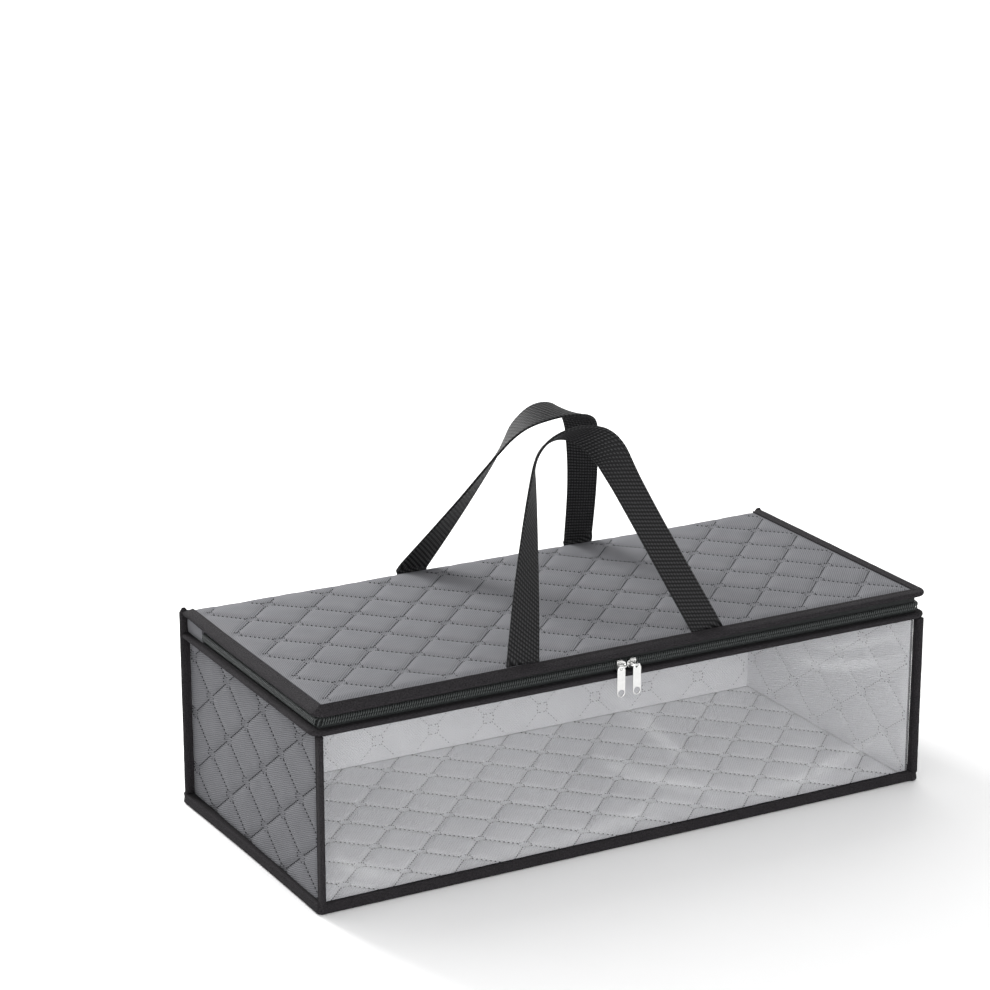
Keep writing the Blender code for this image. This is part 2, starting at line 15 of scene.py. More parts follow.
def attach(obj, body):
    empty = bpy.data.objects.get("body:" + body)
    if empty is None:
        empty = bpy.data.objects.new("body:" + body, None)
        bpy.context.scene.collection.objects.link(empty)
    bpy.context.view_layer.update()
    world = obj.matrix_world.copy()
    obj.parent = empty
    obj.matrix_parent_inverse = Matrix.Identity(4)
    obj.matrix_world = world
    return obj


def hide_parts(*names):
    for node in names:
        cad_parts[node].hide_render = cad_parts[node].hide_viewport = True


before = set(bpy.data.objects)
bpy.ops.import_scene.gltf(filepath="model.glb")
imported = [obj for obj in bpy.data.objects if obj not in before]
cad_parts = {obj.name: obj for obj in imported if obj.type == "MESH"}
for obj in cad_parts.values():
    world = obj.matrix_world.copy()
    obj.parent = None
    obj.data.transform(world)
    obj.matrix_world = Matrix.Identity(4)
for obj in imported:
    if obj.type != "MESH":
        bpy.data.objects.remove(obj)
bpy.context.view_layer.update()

# Case
HALF_LENGTH = 0.265
FRONT_Y = -0.119
BACK_Y = 0.119
TOP = 0.165
GAP = 0.0003

# Quilted walls
WALL = 0.0022
PUFF = 0.0017
INNER_PUFF = 0.0008
FULL_WALL = 0.0032
FOLD_RADIUS = 0.0045
WALL_FOOT = FULL_WALL + GAP
WALL_TOP = 0.1414
SHEET_HALF = HALF_LENGTH - FULL_WALL - GAP
LID_FRONT_Y = FRONT_Y + 0.001
RUN_BACK_Y = BACK_Y - 0.004 - GAP
PAD_CORNER = 0.0065
PAD_ROUND = 0.0052
EYE_ACROSS = 0.100
EYE_ALONG = 0.086
STITCH_PITCH = 0.0037

# Kinds of stitch: outer or inner face, round a crossing or in a row, length, width, rise
STITCHES = [
    (1, False, 0.0023, 0.0014, 0.00095),
    (1, True, 0.0015, 0.0010, 0.00035),
    (-1, False, 0.0014, 0.0012, 0.0003),
    (-1, True, 0.0013, 0.0011, 0.0003),
]
GRID_PER_DIAMOND = 20

# Diamonds of each panel: width and height, place of one crossing, turn of the fine ribs in degrees and
# number of stitches that ring a crossing
LID_QUILT = {"size": (0.0519, 0.0525), "crossing": (-0.2315, 0.0317), "ribs": 49, "eye": 8}
SIDE_QUILT = {"size": (0.0654, 0.0474), "crossing": (-0.0865, 0.0285), "ribs": -16, "eye": 10}

# Seam tape
TAPE = 0.0040
LID_TAPE = {"width": 0.0098, "thickness": TAPE, "top": TOP + 0.0003}
RIM_TAPE = {"width": 0.0072, "thickness": 0.0043, "top": 0.1460}
BASE_TAPE = {"height": 0.0088, "thickness": 0.0036, "front_splay": 0.0035, "back_splay": 0.0042}
CORNER_TAPE_WIDTH = 0.0078
BACK_CORNER_TOP = TOP + 0.0012
TAPE_STITCH = (0.0024, 0.0006, 0.0003)
TAPE_STITCH_PITCH = 0.0034
# How far the lid's tape droops along its run: share of the run, degrees
LID_TAPE_DROOP = [(0, 8), (0.1, 30), (0.24, 36), (0.5, 20), (0.75, 4), (1, 0)]
# Upright tapes: solid, side, front or back, lean in degrees, thickness, distance in from the end
CORNER_TAPES = [
    ("corner_binding_front_left", -1, -1, 0, TAPE, 0.0012),
    ("corner_binding_front_right", 1, -1, 18, 0.0058, 0.0030),
    ("corner_binding_back_left", -1, 1, 0, TAPE, 0.0),
    ("corner_binding_back_right", 1, 1, 0, TAPE, 0.0),
]

# Zip
CHAIN_Z = 0.1508
ZIP_TAPE = 0.0010
ZIP_TAPE_LOW = 0.1417
TOOTH_PITCH = 0.0020
TOOTH_WIDTH = 0.00072
TOOTH_HEIGHT = 0.0005
ZIP_END_Y = BACK_Y - 0.033
SLIDER_X = {-1: -0.0119, 1: -0.0031}
PULL_X = {-1: -0.0149, 1: -0.0010}

# Handles
WEBBING_WIDTH = 0.027
WEBBING_THICKNESS = 0.0018
FRONT_HANDLE = {"centre": -0.013, "half_span": 0.0812, "rise": 0.1505, "reach": 0.070, "offset": -0.004}
BACK_HANDLE = {"centre": 0.0119, "half_span": 0.0783, "rise": 0.135, "reach": 0.057, "offset": 0.019}
HANDLE_TOP_RADIUS = 0.037
SEWN_END = 0.035
# Twist of each strap: share of its length, degrees
FRONT_TWIST = [(0, 0), (0.2, -30), (0.36, -57), (0.48, -84), (0.54, -68), (0.6, -26), (0.68, 0), (1, 0)]
BACK_TWIST = [(0, 0), (0.2, -28), (0.32, -44), (0.42, -68), (0.48, -82), (0.54, -70), (0.64, -18), (1, 0)]


# Materials


def node(tree, kind, inputs=None, **settings):
    """Adds a shader node; an input that is a socket is linked, any other is set."""
    made = tree.nodes.new(kind)
    for key, value in settings.items():
        setattr(made, key, value)
    for key, value in (inputs or {}).items():
        if isinstance(value, bpy.types.NodeSocket):
            tree.links.new(value, made.inputs[key])
        else:
            made.inputs[key].default_value = value
    return made


def calc(tree, operation, *values):
    """One math node's result."""
    return node(tree, "ShaderNodeMath", dict(enumerate(values)), operation=operation).outputs[0]


def times(tree, value, factor, added=0.0):
    """A value times a factor, with another added."""
    return calc(tree, "MULTIPLY_ADD", value, factor, added)


def material(name, colour, roughness, metallic=0.0, gloss=0.5):
    made = bpy.data.materials.new(name)
    made.use_nodes = True
    shader = made.node_tree.nodes["Principled BSDF"]
    shader.inputs["Base Color"].default_value = (*colour, 1.0)
    shader.inputs["Roughness"].default_value = roughness
    shader.inputs["Metallic"].default_value = metallic
    shader.inputs["Specular IOR Level"].default_value = gloss
    return made, made.node_tree, shader


def blend_colours(tree, share, first, second):
    mix = node(tree, "ShaderNodeMix", data_type="RGBA")
    for index, value in ((0, share), (6, first), (7, second)):
        if isinstance(value, bpy.types.NodeSocket):
            tree.links.new(value, mix.inputs[index])
        elif index == 0:
            mix.inputs[index].default_value = value
        else:
            mix.inputs[index].default_value = (*value, 1.0)
    return mix.outputs[2]


def noise_of(tree, vector, scale, detail=3.0, roughness=0.55):
    inputs = {"Vector": vector, "Scale": scale, "Detail": detail, "Roughness": roughness}
    return node(tree, "ShaderNodeTexNoise", inputs).outputs[0]


def bump_into(tree, shader, height, distance, strength=1.0):
    made = node(tree, "ShaderNodeBump", {"Height": height, "Distance": distance, "Strength": strength})
    tree.links.new(made.outputs[0], shader.inputs["Normal"])


def dress(made, tint, height, distance):
    """Gives a material its colour and its fine relief."""
    tree = made.node_tree
    shader = tree.nodes["Principled BSDF"]
    tree.links.new(tint, shader.inputs["Base Color"])
    bump_into(tree, shader, height, distance)
    return made


def uv_parts(tree):
    coordinates = node(tree, "ShaderNodeUVMap", uv_map="cloth").outputs[0]
    split = node(tree, "ShaderNodeSeparateXYZ", {0: coordinates})
    return coordinates, split.outputs[0], split.outputs[1]


def wave(tree, along, pitch, phase=0.0):
    """A sine of a length, from 0 to 1."""
    turn = times(tree, along, 2 * math.pi / pitch, phase)
    return times(tree, calc(tree, "SINE", turn), 0.5, 0.5)


def cloth_outer():
    """Grey laminated cloth with fine ribs, and painted shade that darkens it in the stitched valleys."""
    made, tree, _ = material("quilted_cloth_outer", (0.13, 0.13, 0.14), 0.8, gloss=0.2)
    coordinates, across, _ = uv_parts(tree)
    ribs = wave(tree, across, 0.0016)
    mottle = noise_of(tree, coordinates, 45.0)
    grain = noise_of(tree, coordinates, 1500.0, 2.0)
    valley = node(tree, "ShaderNodeAttribute", attribute_name="valley").outputs["Fac"]
    shade = times(tree, ribs, 0.50, times(tree, mottle, 0.35))
    shade = times(tree, grain, 0.35, shade)
    body = blend_colours(tree, shade, (0.060, 0.061, 0.067), (0.172, 0.173, 0.185))
    # Painted shade: the colour darkens towards the stitch lines, as if the valleys lay in shadow.
    tint = blend_colours(tree, times(tree, valley, 0.10), body, (0.060, 0.060, 0.066))
    height = times(tree, ribs, 0.7, times(tree, grain, 0.5))
    return dress(made, tint, height, 0.0003)


def cloth_inner():
    """Pale lining pressed with a fine mesh of dots, with painted shade in the stitched valleys."""
    made, tree, _ = material("quilted_cloth_inner", (0.7, 0.7, 0.72), 0.75, gloss=0.3)
    coordinates, across, along = uv_parts(tree)
    pitch = 0.0019
    first = wave(tree, across, pitch)
    second = wave(tree, along, pitch)
    dots = times(tree, first, second)
    mottle = noise_of(tree, coordinates, 60.0)
    valley = node(tree, "ShaderNodeAttribute", attribute_name="valley").outputs["Fac"]
    shade = times(tree, dots, 0.55, times(tree, mottle, 0.35))
    body = blend_colours(tree, shade, (0.72, 0.72, 0.74), (0.50, 0.50, 0.53))
    # Painted shade: the lining's colour darkens towards the stitch lines.
    tint = blend_colours(tree, times(tree, valley, 0.1), body, (0.45, 0.45, 0.48))
    return dress(made, tint, times(tree, dots, -1.0), 0.0003)


def stitch_thread():
    made, tree, _ = material("stitches", (0.03, 0.03, 0.034), 0.7, gloss=0.15)
    coordinates = node(tree, "ShaderNodeTexCoord").outputs["Object"]
    fibre = noise_of(tree, coordinates, 2500.0, 2.0)
    tint = blend_colours(tree, fibre, (0.006, 0.006, 0.007), (0.022, 0.022, 0.025))
    return dress(made, tint, fibre, 0.0001)


def tape_cloth(name, dark, light, roughness=0.9):
    """Matt black non-woven tape, with a fibrous, faintly crossed surface."""
    made, tree, _ = material(name, dark, roughness, gloss=0.12)
    coordinates, along, across = uv_parts(tree)
    fibres = noise_of(tree, coordinates, 900.0, 4.0, 0.7)
    cloudy = noise_of(tree, coordinates, 120.0)
    weave = times(tree, wave(tree, along, 0.0011), wave(tree, across, 0.0011))
    flecks = times(tree, fibres, 2.6, -1.05)
    shade = times(tree, cloudy, 0.3, flecks)
    shade = calc(tree, "MINIMUM", calc(tree, "MAXIMUM", shade, 0.0), 1.0)
    tint = blend_colours(tree, shade, dark, light)
    return dress(made, tint, times(tree, weave, 0.5, fibres), 0.0004)


def zip_tape_cloth():
    """Black zip tape woven in fine cords along its run."""
    made, tree, _ = material("zip_tape", (0.014, 0.015, 0.015), 0.7, gloss=0.2)
    _, along, across = uv_parts(tree)
    cords = wave(tree, across, 0.0009)
    twill = wave(tree, calc(tree, "ADD", along, across), 0.0012)
    shade = times(tree, cords, 0.5, times(tree, twill, 0.5))
    tint = blend_colours(tree, shade, (0.004, 0.0045, 0.0045), (0.036, 0.040, 0.040))
    return dress(made, tint, shade, 0.0003)


def zip_coil():
    made, tree, _ = material("zip_coil", (0.022, 0.028, 0.028), 0.42, gloss=0.35)
    coordinates = node(tree, "ShaderNodeTexCoord").outputs["Object"]
    grain = noise_of(tree, coordinates, 700.0, 2.0)
    tint = blend_colours(tree, grain, (0.013, 0.015, 0.015), (0.066, 0.074, 0.073))
    return dress(made, tint, grain, 0.00008)


def slider_metal():
    """Bright nickel with faint scratches."""
    made, tree, shader = material("slider_metal", (0.86, 0.86, 0.85), 0.2, 1.0)
    coordinates = node(tree, "ShaderNodeTexCoord").outputs["Object"]
    stretched = node(tree, "ShaderNodeMapping", {"Vector": coordinates, "Scale": (1.0, 1.0, 6.0)}).outputs[0]
    scratches = noise_of(tree, stretched, 900.0, 4.0, 0.7)
    wear = noise_of(tree, coordinates, 250.0)
    shine = times(tree, scratches, 0.22, times(tree, wear, 0.15, 0.06))
    tree.links.new(shine, shader.inputs["Roughness"])
    tint = blend_colours(tree, wear, (0.90, 0.90, 0.89), (0.72, 0.72, 0.71))
    return dress(made, tint, scratches, 0.00004)


def webbing_cloth():
    """Black webbing: cords side by side, each with slanting floats that step from one cord to the next, and
    painted highlights on the raised floats.
    """
    made, tree, _ = material("webbing", (0.012, 0.012, 0.013), 0.6, gloss=0.18)
    coordinates, along, across = uv_parts(tree)
    cord = 0.0024
    float_pitch = 0.0033
    place = calc(tree, "DIVIDE", calc(tree, "ADD", across, 1.0), cord)
    crown = calc(tree, "SINE", times(tree, calc(tree, "FRACT", place), math.pi))
    turn = times(tree, place, 0.36, calc(tree, "DIVIDE", along, float_pitch))
    height = times(tree, crown, wave(tree, turn, 1.0))
    threads = noise_of(tree, coordinates, 2200.0, 2.0)
    # Partly the weave pattern, partly painted highlight and shade: the colour is lighter on the raised floats
    # and darker between them.
    shade = times(tree, height, times(tree, threads, 0.8, 0.6))
    tint = blend_colours(tree, shade, (0.0022, 0.0022, 0.0026), (0.046, 0.046, 0.048))
    return dress(made, tint, times(tree, threads, 0.15, height), 0.0009)


def clear_film():
    """Soft clear vinyl: a faint haze, and painted glare that whitens it along its creases."""
    made, tree, shader = material("clear_film", (0.93, 0.94, 0.95), 0.12)
    coordinates = node(tree, "ShaderNodeTexCoord").outputs["Object"]
    crease_glare = node(tree, "ShaderNodeAttribute", attribute_name="crease_glare").outputs["Fac"]
    cloudy = noise_of(tree, coordinates, 9.0)
    veil = times(tree, cloudy, 0.08, 0.03)
    # Painted glare: the film is whiter along its creases.
    cover = times(tree, crease_glare, 0.06, veil)
    tree.links.new(cover, shader.inputs["Alpha"])
    ripple = noise_of(tree, coordinates, 22.0, 2.0)
    bump_into(tree, shader, ripple, 0.002, 0.4)
    shader.inputs["IOR"].default_value = 1.53
    return made


def pale_floor():
    made, tree, shader = material("floor", (0.86, 0.86, 0.86), 0.7)
    coordinates = node(tree, "ShaderNodeTexCoord").outputs["Object"]
    grain = noise_of(tree, coordinates, 12.0)
    tint = blend_colours(tree, grain, (0.88, 0.88, 0.88), (0.90, 0.90, 0.90))
    tree.links.new(tint, shader.inputs["Base Color"])
    return made


# Meshes


def read_table(table, share):
    """Eases between the rows of a short table of (share, value)."""
    for (low, first), (high, second) in zip(table, table[1:]):
        if share <= high:
            part = (share - low) / (high - low)
            return first + (second - first) * part * part * (3 - 2 * part)
    return table[-1][1]


def follow_table(table, share):
    """Curves through the rows of a short table of (share, value) without a pause at each."""
    last = len(table) - 1
    for i in range(last):
        (low, first), (high, second) = table[i], table[i + 1]
        if share <= high:
            before, after = table[max(i - 1, 0)], table[min(i + 2, last)]
            start_slope = (second - before[1]) / (high - before[0]) * (high - low)
            end_slope = (after[1] - first) / (after[0] - low) * (high - low)
            t = (share - low) / (high - low)
            value = first * (1 + 2 * t) * (1 - t) ** 2 + second * t * t * (3 - 2 * t)
            return value + start_slope * t * (1 - t) ** 2 - end_slope * t * t * (1 - t)
    return table[-1][1]


def mesh_object(name, points, faces, finish, uvs=None, face_finish=None, attributes=None, sharp=None):
    """A smooth-shaded mesh object from arrays; uvs are one pair for each point."""
    mesh = bpy.data.meshes.new(name)
    mesh.from_pydata(np.asarray(points, float).tolist(), [], [tuple(map(int, face)) for face in faces])
    for one in finish:
        mesh.materials.append(one)
    if face_finish is not None:
        mesh.polygons.foreach_set("material_index", np.asarray(face_finish, np.int32))
    if uvs is not None:
        layer = mesh.uv_layers.new(name="cloth")
        corners = np.empty(len(mesh.loops), np.int32)
        mesh.loops.foreach_get("vertex_index", corners)
        layer.data.foreach_set("uv", np.asarray(uvs, np.float32)[corners].reshape(-1))
    for key, values in (attributes or {}).items():
        layer = mesh.attributes.new(key, "FLOAT", "POINT")
        layer.data.foreach_set("value", np.asarray(values, np.float32))
    mesh.shade_smooth()
    if sharp is not None:
        mesh.set_sharp_from_angle(angle=math.radians(sharp))
    mesh.update()
    made = bpy.data.objects.new(name, mesh)
    bpy.context.scene.collection.objects.link(made)
    return made


def finish_piece(piece, body, slot, *nodes):
    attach(piece, body)
    if nodes:
        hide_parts(*nodes)
    return piece


def soft_noise(points, scale, seed):
    """Smooth noise at each of some points, about -1 to 1."""
    return np.array([noise.noise(Vector(p) * scale + Vector((seed, seed * 0.7, seed * 1.3))) for p in points])


# Quilting


def quilt_share(across, along, quilt):
    """Height of the padding from 0 on the stitch lines to 1 on a pad, and how near a stitch line is."""
    width, height = quilt["size"]
    a = (across - quilt["crossing"][0]) / width
    b = (along - quilt["crossing"][1]) / height
    reach = width * height / math.hypot(width, height)
    first = np.abs(a + b - np.round(a + b)) * reach
    second = np.abs(a - b - np.round(a - b)) * reach
    corner = PAD_CORNER - np.hypot(PAD_CORNER - first, PAD_CORNER - second)
    inside = np.where(np.maximum(first, second) < PAD_CORNER, corner, np.minimum(first, second))
    rise = 1 - (1 - np.clip(inside / PAD_ROUND, 0, 1)) ** 2
    crown = np.clip(inside / (reach / 2), 0, 1)
    share = 0.72 * rise + 0.28 * crown * (2 - crown)
    valley = np.exp(-((np.clip(inside, 0, 1) / 0.0011) ** 2))
    return share, valley


def sheet_grid(n_row, n_col):
    """The corners of each square of a grid of points, its edge points in a ring and the next of each."""
    index = np.arange(n_row * n_col).reshape(n_row, n_col)
    squares = (index[:-1, :-1], index[:-1, 1:], index[1:, 1:], index[1:, :-1])
    ring = np.concatenate([index[0, :], index[1:, -1], index[-1, -2::-1], index[-2:0:-1, 0]])
    return [corner.reshape(-1) for corner in squares], ring, np.roll(ring, -1)


def quilt_lines(low, high, size, start):
    """Grid lines through the crossings and stitch lines, with the panel's two edges."""
    step = size / GRID_PER_DIAMOND
    first = math.ceil((low - start) / step + 0.4)
    last = math.floor((high - start) / step - 0.4)
    return np.array([low] + [start + i * step for i in range(first, last + 1)] + [high])


def edge_fade(across, along, box, reach):
    """0 on a panel's edges, rising to 1 over a distance."""
    low_a, high_a, low_b, high_b = box
    near = np.minimum(np.minimum(across - low_a, high_a - across), np.minimum(along - low_b, high_b - along))
    share = np.clip(near / reach, 0, 1)
    return share * share * (3 - 2 * share)


class Panel:
    """A quilted sheet: where it lies, its pattern and its soft bulge."""

    def __init__(self, name, box, place, quilt, bulge=0.0, waves=0.0006, seed=1.0, lift=False, fold=None):
        self.name, self.box, self.place, self.quilt = name, box, place, quilt
        self.bulge, self.waves, self.seed, self.lift, self.fold = bulge, waves, seed, lift, fold

    def swell(self, across, along):
        fade = edge_fade(across, along, self.box, 0.045)
        spots = np.stack([across, along, np.zeros_like(across)], 1)
        rolling = soft_noise(spots, 14.0, self.seed)
        return fade * (self.bulge + self.waves * rolling)

    def heights(self, across, along):
        """Outer and inner heights over the inner face, and the nearness of a stitch line."""
        share, valley = quilt_share(across, along, self.quilt)
        fade = edge_fade(across, along, self.box, 0.006)
        if self.fold:
            fade = fade * (1 - 0.8 * np.exp(-(((along - self.fold) / 0.009) ** 2)))
        swell = self.swell(across, along)
        if self.lift:
            low = 0.0009 * (1 - share) * fade
            return WALL + PUFF * share * fade + swell, low, valley
        return WALL + PUFF * share * fade + swell, swell - INNER_PUFF * share * fade, valley

    def build(self, outer, inner):
        low_a, high_a, low_b, high_b = self.box
        width, height = self.quilt["size"]
        columns = quilt_lines(low_a, high_a, width, self.quilt["crossing"][0])
        rows = quilt_lines(low_b, high_b, height, self.quilt["crossing"][1])
        across, along = (grid.reshape(-1) for grid in np.meshgrid(columns, rows))
        top, bottom, valley = self.heights(across, along)
        count = len(across)
        points = np.concatenate([self.place(across, along, top), self.place(across, along, bottom)])
        (a, b, c, d), ring, ahead = sheet_grid(len(rows), len(columns))
        along_ac = (valley[a] + valley[c] >= valley[b] + valley[d])[:, None]
        first = np.where(along_ac, np.stack([a, b, c], 1), np.stack([a, b, d], 1))
        second = np.where(along_ac, np.stack([a, c, d], 1), np.stack([b, c, d], 1))
        faces = np.concatenate([first, second])
        rim = [np.stack([ring, ring + count, ahead], 1), np.stack([ahead, ring + count, ahead + count], 1)]
        every = np.concatenate([faces, faces[:, ::-1] + count, *rim])
        marks = np.zeros(len(every), np.int32)
        marks[len(faces):2 * len(faces)] = 1
        angle = math.radians(self.quilt["ribs"])
        sine, cosine = math.sin(angle), math.cos(angle)
        turned = np.stack([across * sine - along * cosine, across * cosine + along * sine], 1)
        uvs = np.concatenate([turned, turned])
        valleys = {"valley": np.concatenate([valley, valley])}
        return mesh_object(self.name + "_cloth", points, every, [outer, inner], uvs, marks, valleys, 60)

    def stitches(self, thread):
        """Dashes on the outer face and dots on the inner one, in rows that ring each crossing with an eye."""
        every, directions, of_eye = quilt_rows(self.box, self.quilt)
        if self.fold:
            clear = np.abs(every[:, 1] - self.fold) > 0.008
            every, directions, of_eye = every[clear], directions[clear], of_eye[clear]
        made = []
        for face, eyes, length, width, rise in STITCHES:
            spots, ways = every[of_eye == eyes], directions[of_eye == eyes]
            top, bottom, _ = self.heights(spots[:, 0], spots[:, 1])
            base = top if face > 0 else bottom
            middle = self.place(spots[:, 0], spots[:, 1], base)
            ahead = self.place(spots[:, 0] + ways[:, 0] * 0.0005, spots[:, 1] + ways[:, 1] * 0.0005, base)
            out = self.place(spots[:, 0], spots[:, 1], base + face * 0.001)
            made.append((middle, ahead - middle, out - middle, length, width, rise))
        return dash_object(self.name + "_stitches", made, thread)


def quilt_rows(box, quilt):
    """Places and directions of a panel's stitches, and which of them ring a crossing."""
    width, height = quilt["size"]
    side = math.hypot(width, height) / 2
    wide, tall = width * EYE_ACROSS, height * EYE_ALONG
    bare = math.hypot(wide, tall) / math.sqrt(2) + 0.0008
    count = int(round((side - 2 * bare) / STITCH_PITCH)) + 1
    one = []
    for turn in range(quilt["eye"]):
        angle = 2 * math.pi * (turn + 0.5) / quilt["eye"]
        run = math.hypot(wide * math.sin(angle), tall * math.cos(angle))
        way = (-wide * math.sin(angle) / run, tall * math.cos(angle) / run)
        one.append((wide * math.cos(angle), tall * math.sin(angle), *way, 1))
    for way in ((width / 2 / side, height / 2 / side), (width / 2 / side, -height / 2 / side)):
        for gone in np.linspace(bare, side - bare, count):
            one.append((way[0] * gone, way[1] * gone, *way, 0))
    one = np.array(one)
    i, j = (grid.reshape(-1) for grid in np.meshgrid(range(-24, 25), range(-24, 25)))
    crossings = np.stack([i * width / 2, j * height / 2], 1)[(i + j) % 2 == 0] + quilt["crossing"]
    spots = (crossings[:, None] + one[None, :, :2]).reshape(-1, 2)
    rest = np.tile(one[:, 2:], (len(crossings), 1))
    margin = 0.0022
    inside = np.all((spots > np.array(box[::2]) + margin) & (spots < np.array(box[1::2]) - margin), axis=1)
    return spots[inside], rest[inside, :2], rest[inside, 2] > 0


def unit(vectors):
    return vectors / np.linalg.norm(vectors, axis=1, keepdims=True)


def lengths_along(points):
    """The length gone at each point of a run."""
    return np.concatenate([[0.0], np.cumsum(np.linalg.norm(np.diff(points, axis=0), axis=1))])


def between(at, lengths, values):
    """Values of a run's stations, read at some lengths along it."""
    return np.stack([np.interp(at, lengths, values[:, k]) for k in range(3)], 1)


def dash_object(name, groups, thread):
    """Many small pillow-shaped stitches as one piece."""
    ring = [(-1, 0), (-0.55, -1), (0.55, -1), (1, 0), (0.55, 1), (-0.55, 1)]
    shape = np.array([(x, y, -0.3) for x, y in ring] + [(-0.4, 0, 1), (0.4, 0, 1)])
    faces = np.array([
        (0, 1, 6), (1, 2, 7), (1, 7, 6), (2, 3, 7), (3, 4, 7), (4, 5, 6), (4, 6, 7), (5, 0, 6),
        (0, 5, 1), (1, 5, 2), (2, 5, 4), (2, 4, 3),
    ])
    points, triangles, start = [], [], 0
    for middle, ahead, out, length, width, rise in groups:
        x, z = unit(ahead), unit(out)
        y = unit(np.cross(z, x))
        size = shape * np.array([length / 2, width / 2, rise])
        moved = sum(size[None, :, k, None] * v[:, None, :] for k, v in enumerate((x, y, z)))
        points.append((middle[:, None, :] + moved).reshape(-1, 3))
        starts = start + np.arange(len(middle)) * len(shape)
        triangles.append((faces[None] + starts[:, None, None]).reshape(-1, 3))
        start += len(middle) * len(shape)
    return mesh_object(name, np.concatenate(points), np.concatenate(triangles), [thread])


def lay_panels(outer, inner, thread):
    """The lid and back in one sheet, the base and the two ends."""
    lid_run = BACK_Y - FOLD_RADIUS - LID_FRONT_Y
    inner_fold = FOLD_RADIUS - FULL_WALL
    fold_run = inner_fold * math.pi / 2
    back_run = TOP - FOLD_RADIUS - WALL_FOOT
    lid_inside = TOP - FULL_WALL

    def on_sheet(across, along, height):
        flat = np.stack([across, LID_FRONT_Y + along, lid_inside + height], 1)
        drop = TOP - FOLD_RADIUS - (along - lid_run - fold_run)
        upright = np.stack([across, BACK_Y - FULL_WALL + height, drop], 1)
        angle = (along - lid_run) / inner_fold
        radius = inner_fold + height
        y = BACK_Y - FOLD_RADIUS + np.sin(angle) * radius
        z = TOP - FOLD_RADIUS + np.cos(angle) * radius
        bent = np.stack([across, y, z], 1)
        made = np.where((along <= lid_run)[:, None], flat, bent)
        return np.where((along >= lid_run + fold_run)[:, None], upright, made)

    sheet_length = lid_run + fold_run + back_run
    lid_box = (-SHEET_HALF, SHEET_HALF, 0.0, sheet_length)
    fold = lid_run + fold_run / 2
    lid = Panel("lid_and_back", lid_box, on_sheet, LID_QUILT, -0.0004, 0.0009, 3.0, fold=fold)

    def on_base(across, along, height):
        return np.stack([across, FRONT_Y + along, height], 1)

    base_box = (-HALF_LENGTH, HALF_LENGTH, 0.0, BACK_Y - FRONT_Y)
    base = Panel("base", base_box, on_base, LID_QUILT, 0.0, 0.0, 5.0, lift=True)

    end_front = FRONT_Y + 0.001 + GAP
    middle_y = (end_front + BACK_Y) / 2
    half = (BACK_Y - end_front) / 2
    end_box = (-half, half, 0.0, WALL_TOP - WALL_FOOT)
    panels = [(lid, "lid_and_back_panel"), (base, "bottom_panel")]
    for side, name in ((-1, "left_side"), (1, "right_side")):

        def on_end(across, along, height, side=side):
            x = side * (HALF_LENGTH - FULL_WALL + height)
            return np.stack([x, middle_y + across, WALL_FOOT + along], 1)

        panels.append((Panel(name, end_box, on_end, SIDE_QUILT, 0.0006, 0.0008, 7.0 + side), name + "_panel"))
    for panel, node_name in panels:
        cloth = panel.build(inner, outer) if panel is base else panel.build(outer, inner)
        finish_piece(cloth, "case", "quilted_cloth", node_name)
        finish_piece(panel.stitches(thread), "case", "quilted_cloth")


# Tapes and zip


def plan_path(half_x, front_y, back_y, radius, closed=False, step=0.0035):
    """Stations round the case in plan, from the left rear by the front: point, outward, length gone."""
    corners = [(-half_x, front_y, 180), (half_x, front_y, 270)]
    if closed:
        corners += [(half_x, back_y, 0), (-half_x, back_y, 90)]
    stations = []

    def straight(start, end, out):
        count = max(2, int((end - start).length / step))
        for i in range(1, count):
            stations.append((start.lerp(end, i / count), out))

    last = Vector((-half_x, back_y, 0)) if not closed else Vector((-half_x, back_y - radius, 0))
    if not closed:
        stations.append((last, Vector((-1, 0, 0))))
    for x, y, start in corners:
        centre = Vector((x - math.copysign(radius, x), y + (radius if y == front_y else -radius), 0))
        turn = math.radians(start)
        first_out = Vector((round(math.cos(turn)), round(math.sin(turn)), 0))
        straight(last, centre + first_out * radius, first_out)
        for i in range(9):
            angle = turn + math.pi / 2 * i / 8
            out = Vector((math.cos(angle), math.sin(angle), 0))
            stations.append((centre + out * radius, out))
        last = stations[-1][0]
    if closed:
        straight(last, stations[0][0], Vector((-1, 0, 0)))
    else:
        end = Vector((half_x, back_y, 0))
        straight(last, end, Vector((1, 0, 0)))
        stations.append((end, Vector((1, 0, 0))))
    gone = [0.0]
    for (a, _), (b, _) in zip(stations, stations[1:]):
        gone.append(gone[-1] + (b - a).length)
    return [(point, out, length) for (point, out), length in zip(stations, gone)]


def sweep(name, rings, finish, closed=False, lengths=None, across=None, sharp=None):
    """Joins rings into one closed body, with lengths along it and round or across it as its uvs."""
    rings = [np.array([tuple(p) for p in ring]) for ring in rings]
    size = len(rings[0])
    count = len(rings)
    if lengths is None:
        lengths = lengths_along(np.array([ring.mean(0) for ring in rings]))
    if across is None:
        across = lengths_along(rings[count // 2])
    uvs = np.array([(length, part) for length in lengths for part in across])
    faces = []
    for i in range(count if closed else count - 1):
        k = (i + 1) % count
        for j in range(size):
            m = (j + 1) % size
            faces.append((i * size + j, i * size + m, k * size + m, k * size + j))
    if not closed:
        faces.append(tuple(range(size))[::-1])
        faces.append(tuple((count - 1) * size + j for j in range(size)))
    made = mesh_object(name, np.concatenate(rings), faces, finish, uvs, sharp=sharp)
    turn_outwards(made)
    return made


def turn_outwards(piece):
    data = bmesh.new()
    data.from_mesh(piece.data)
    bmesh.ops.recalc_face_normals(data, faces=data.faces)
    data.to_mesh(piece.data)
    data.free()


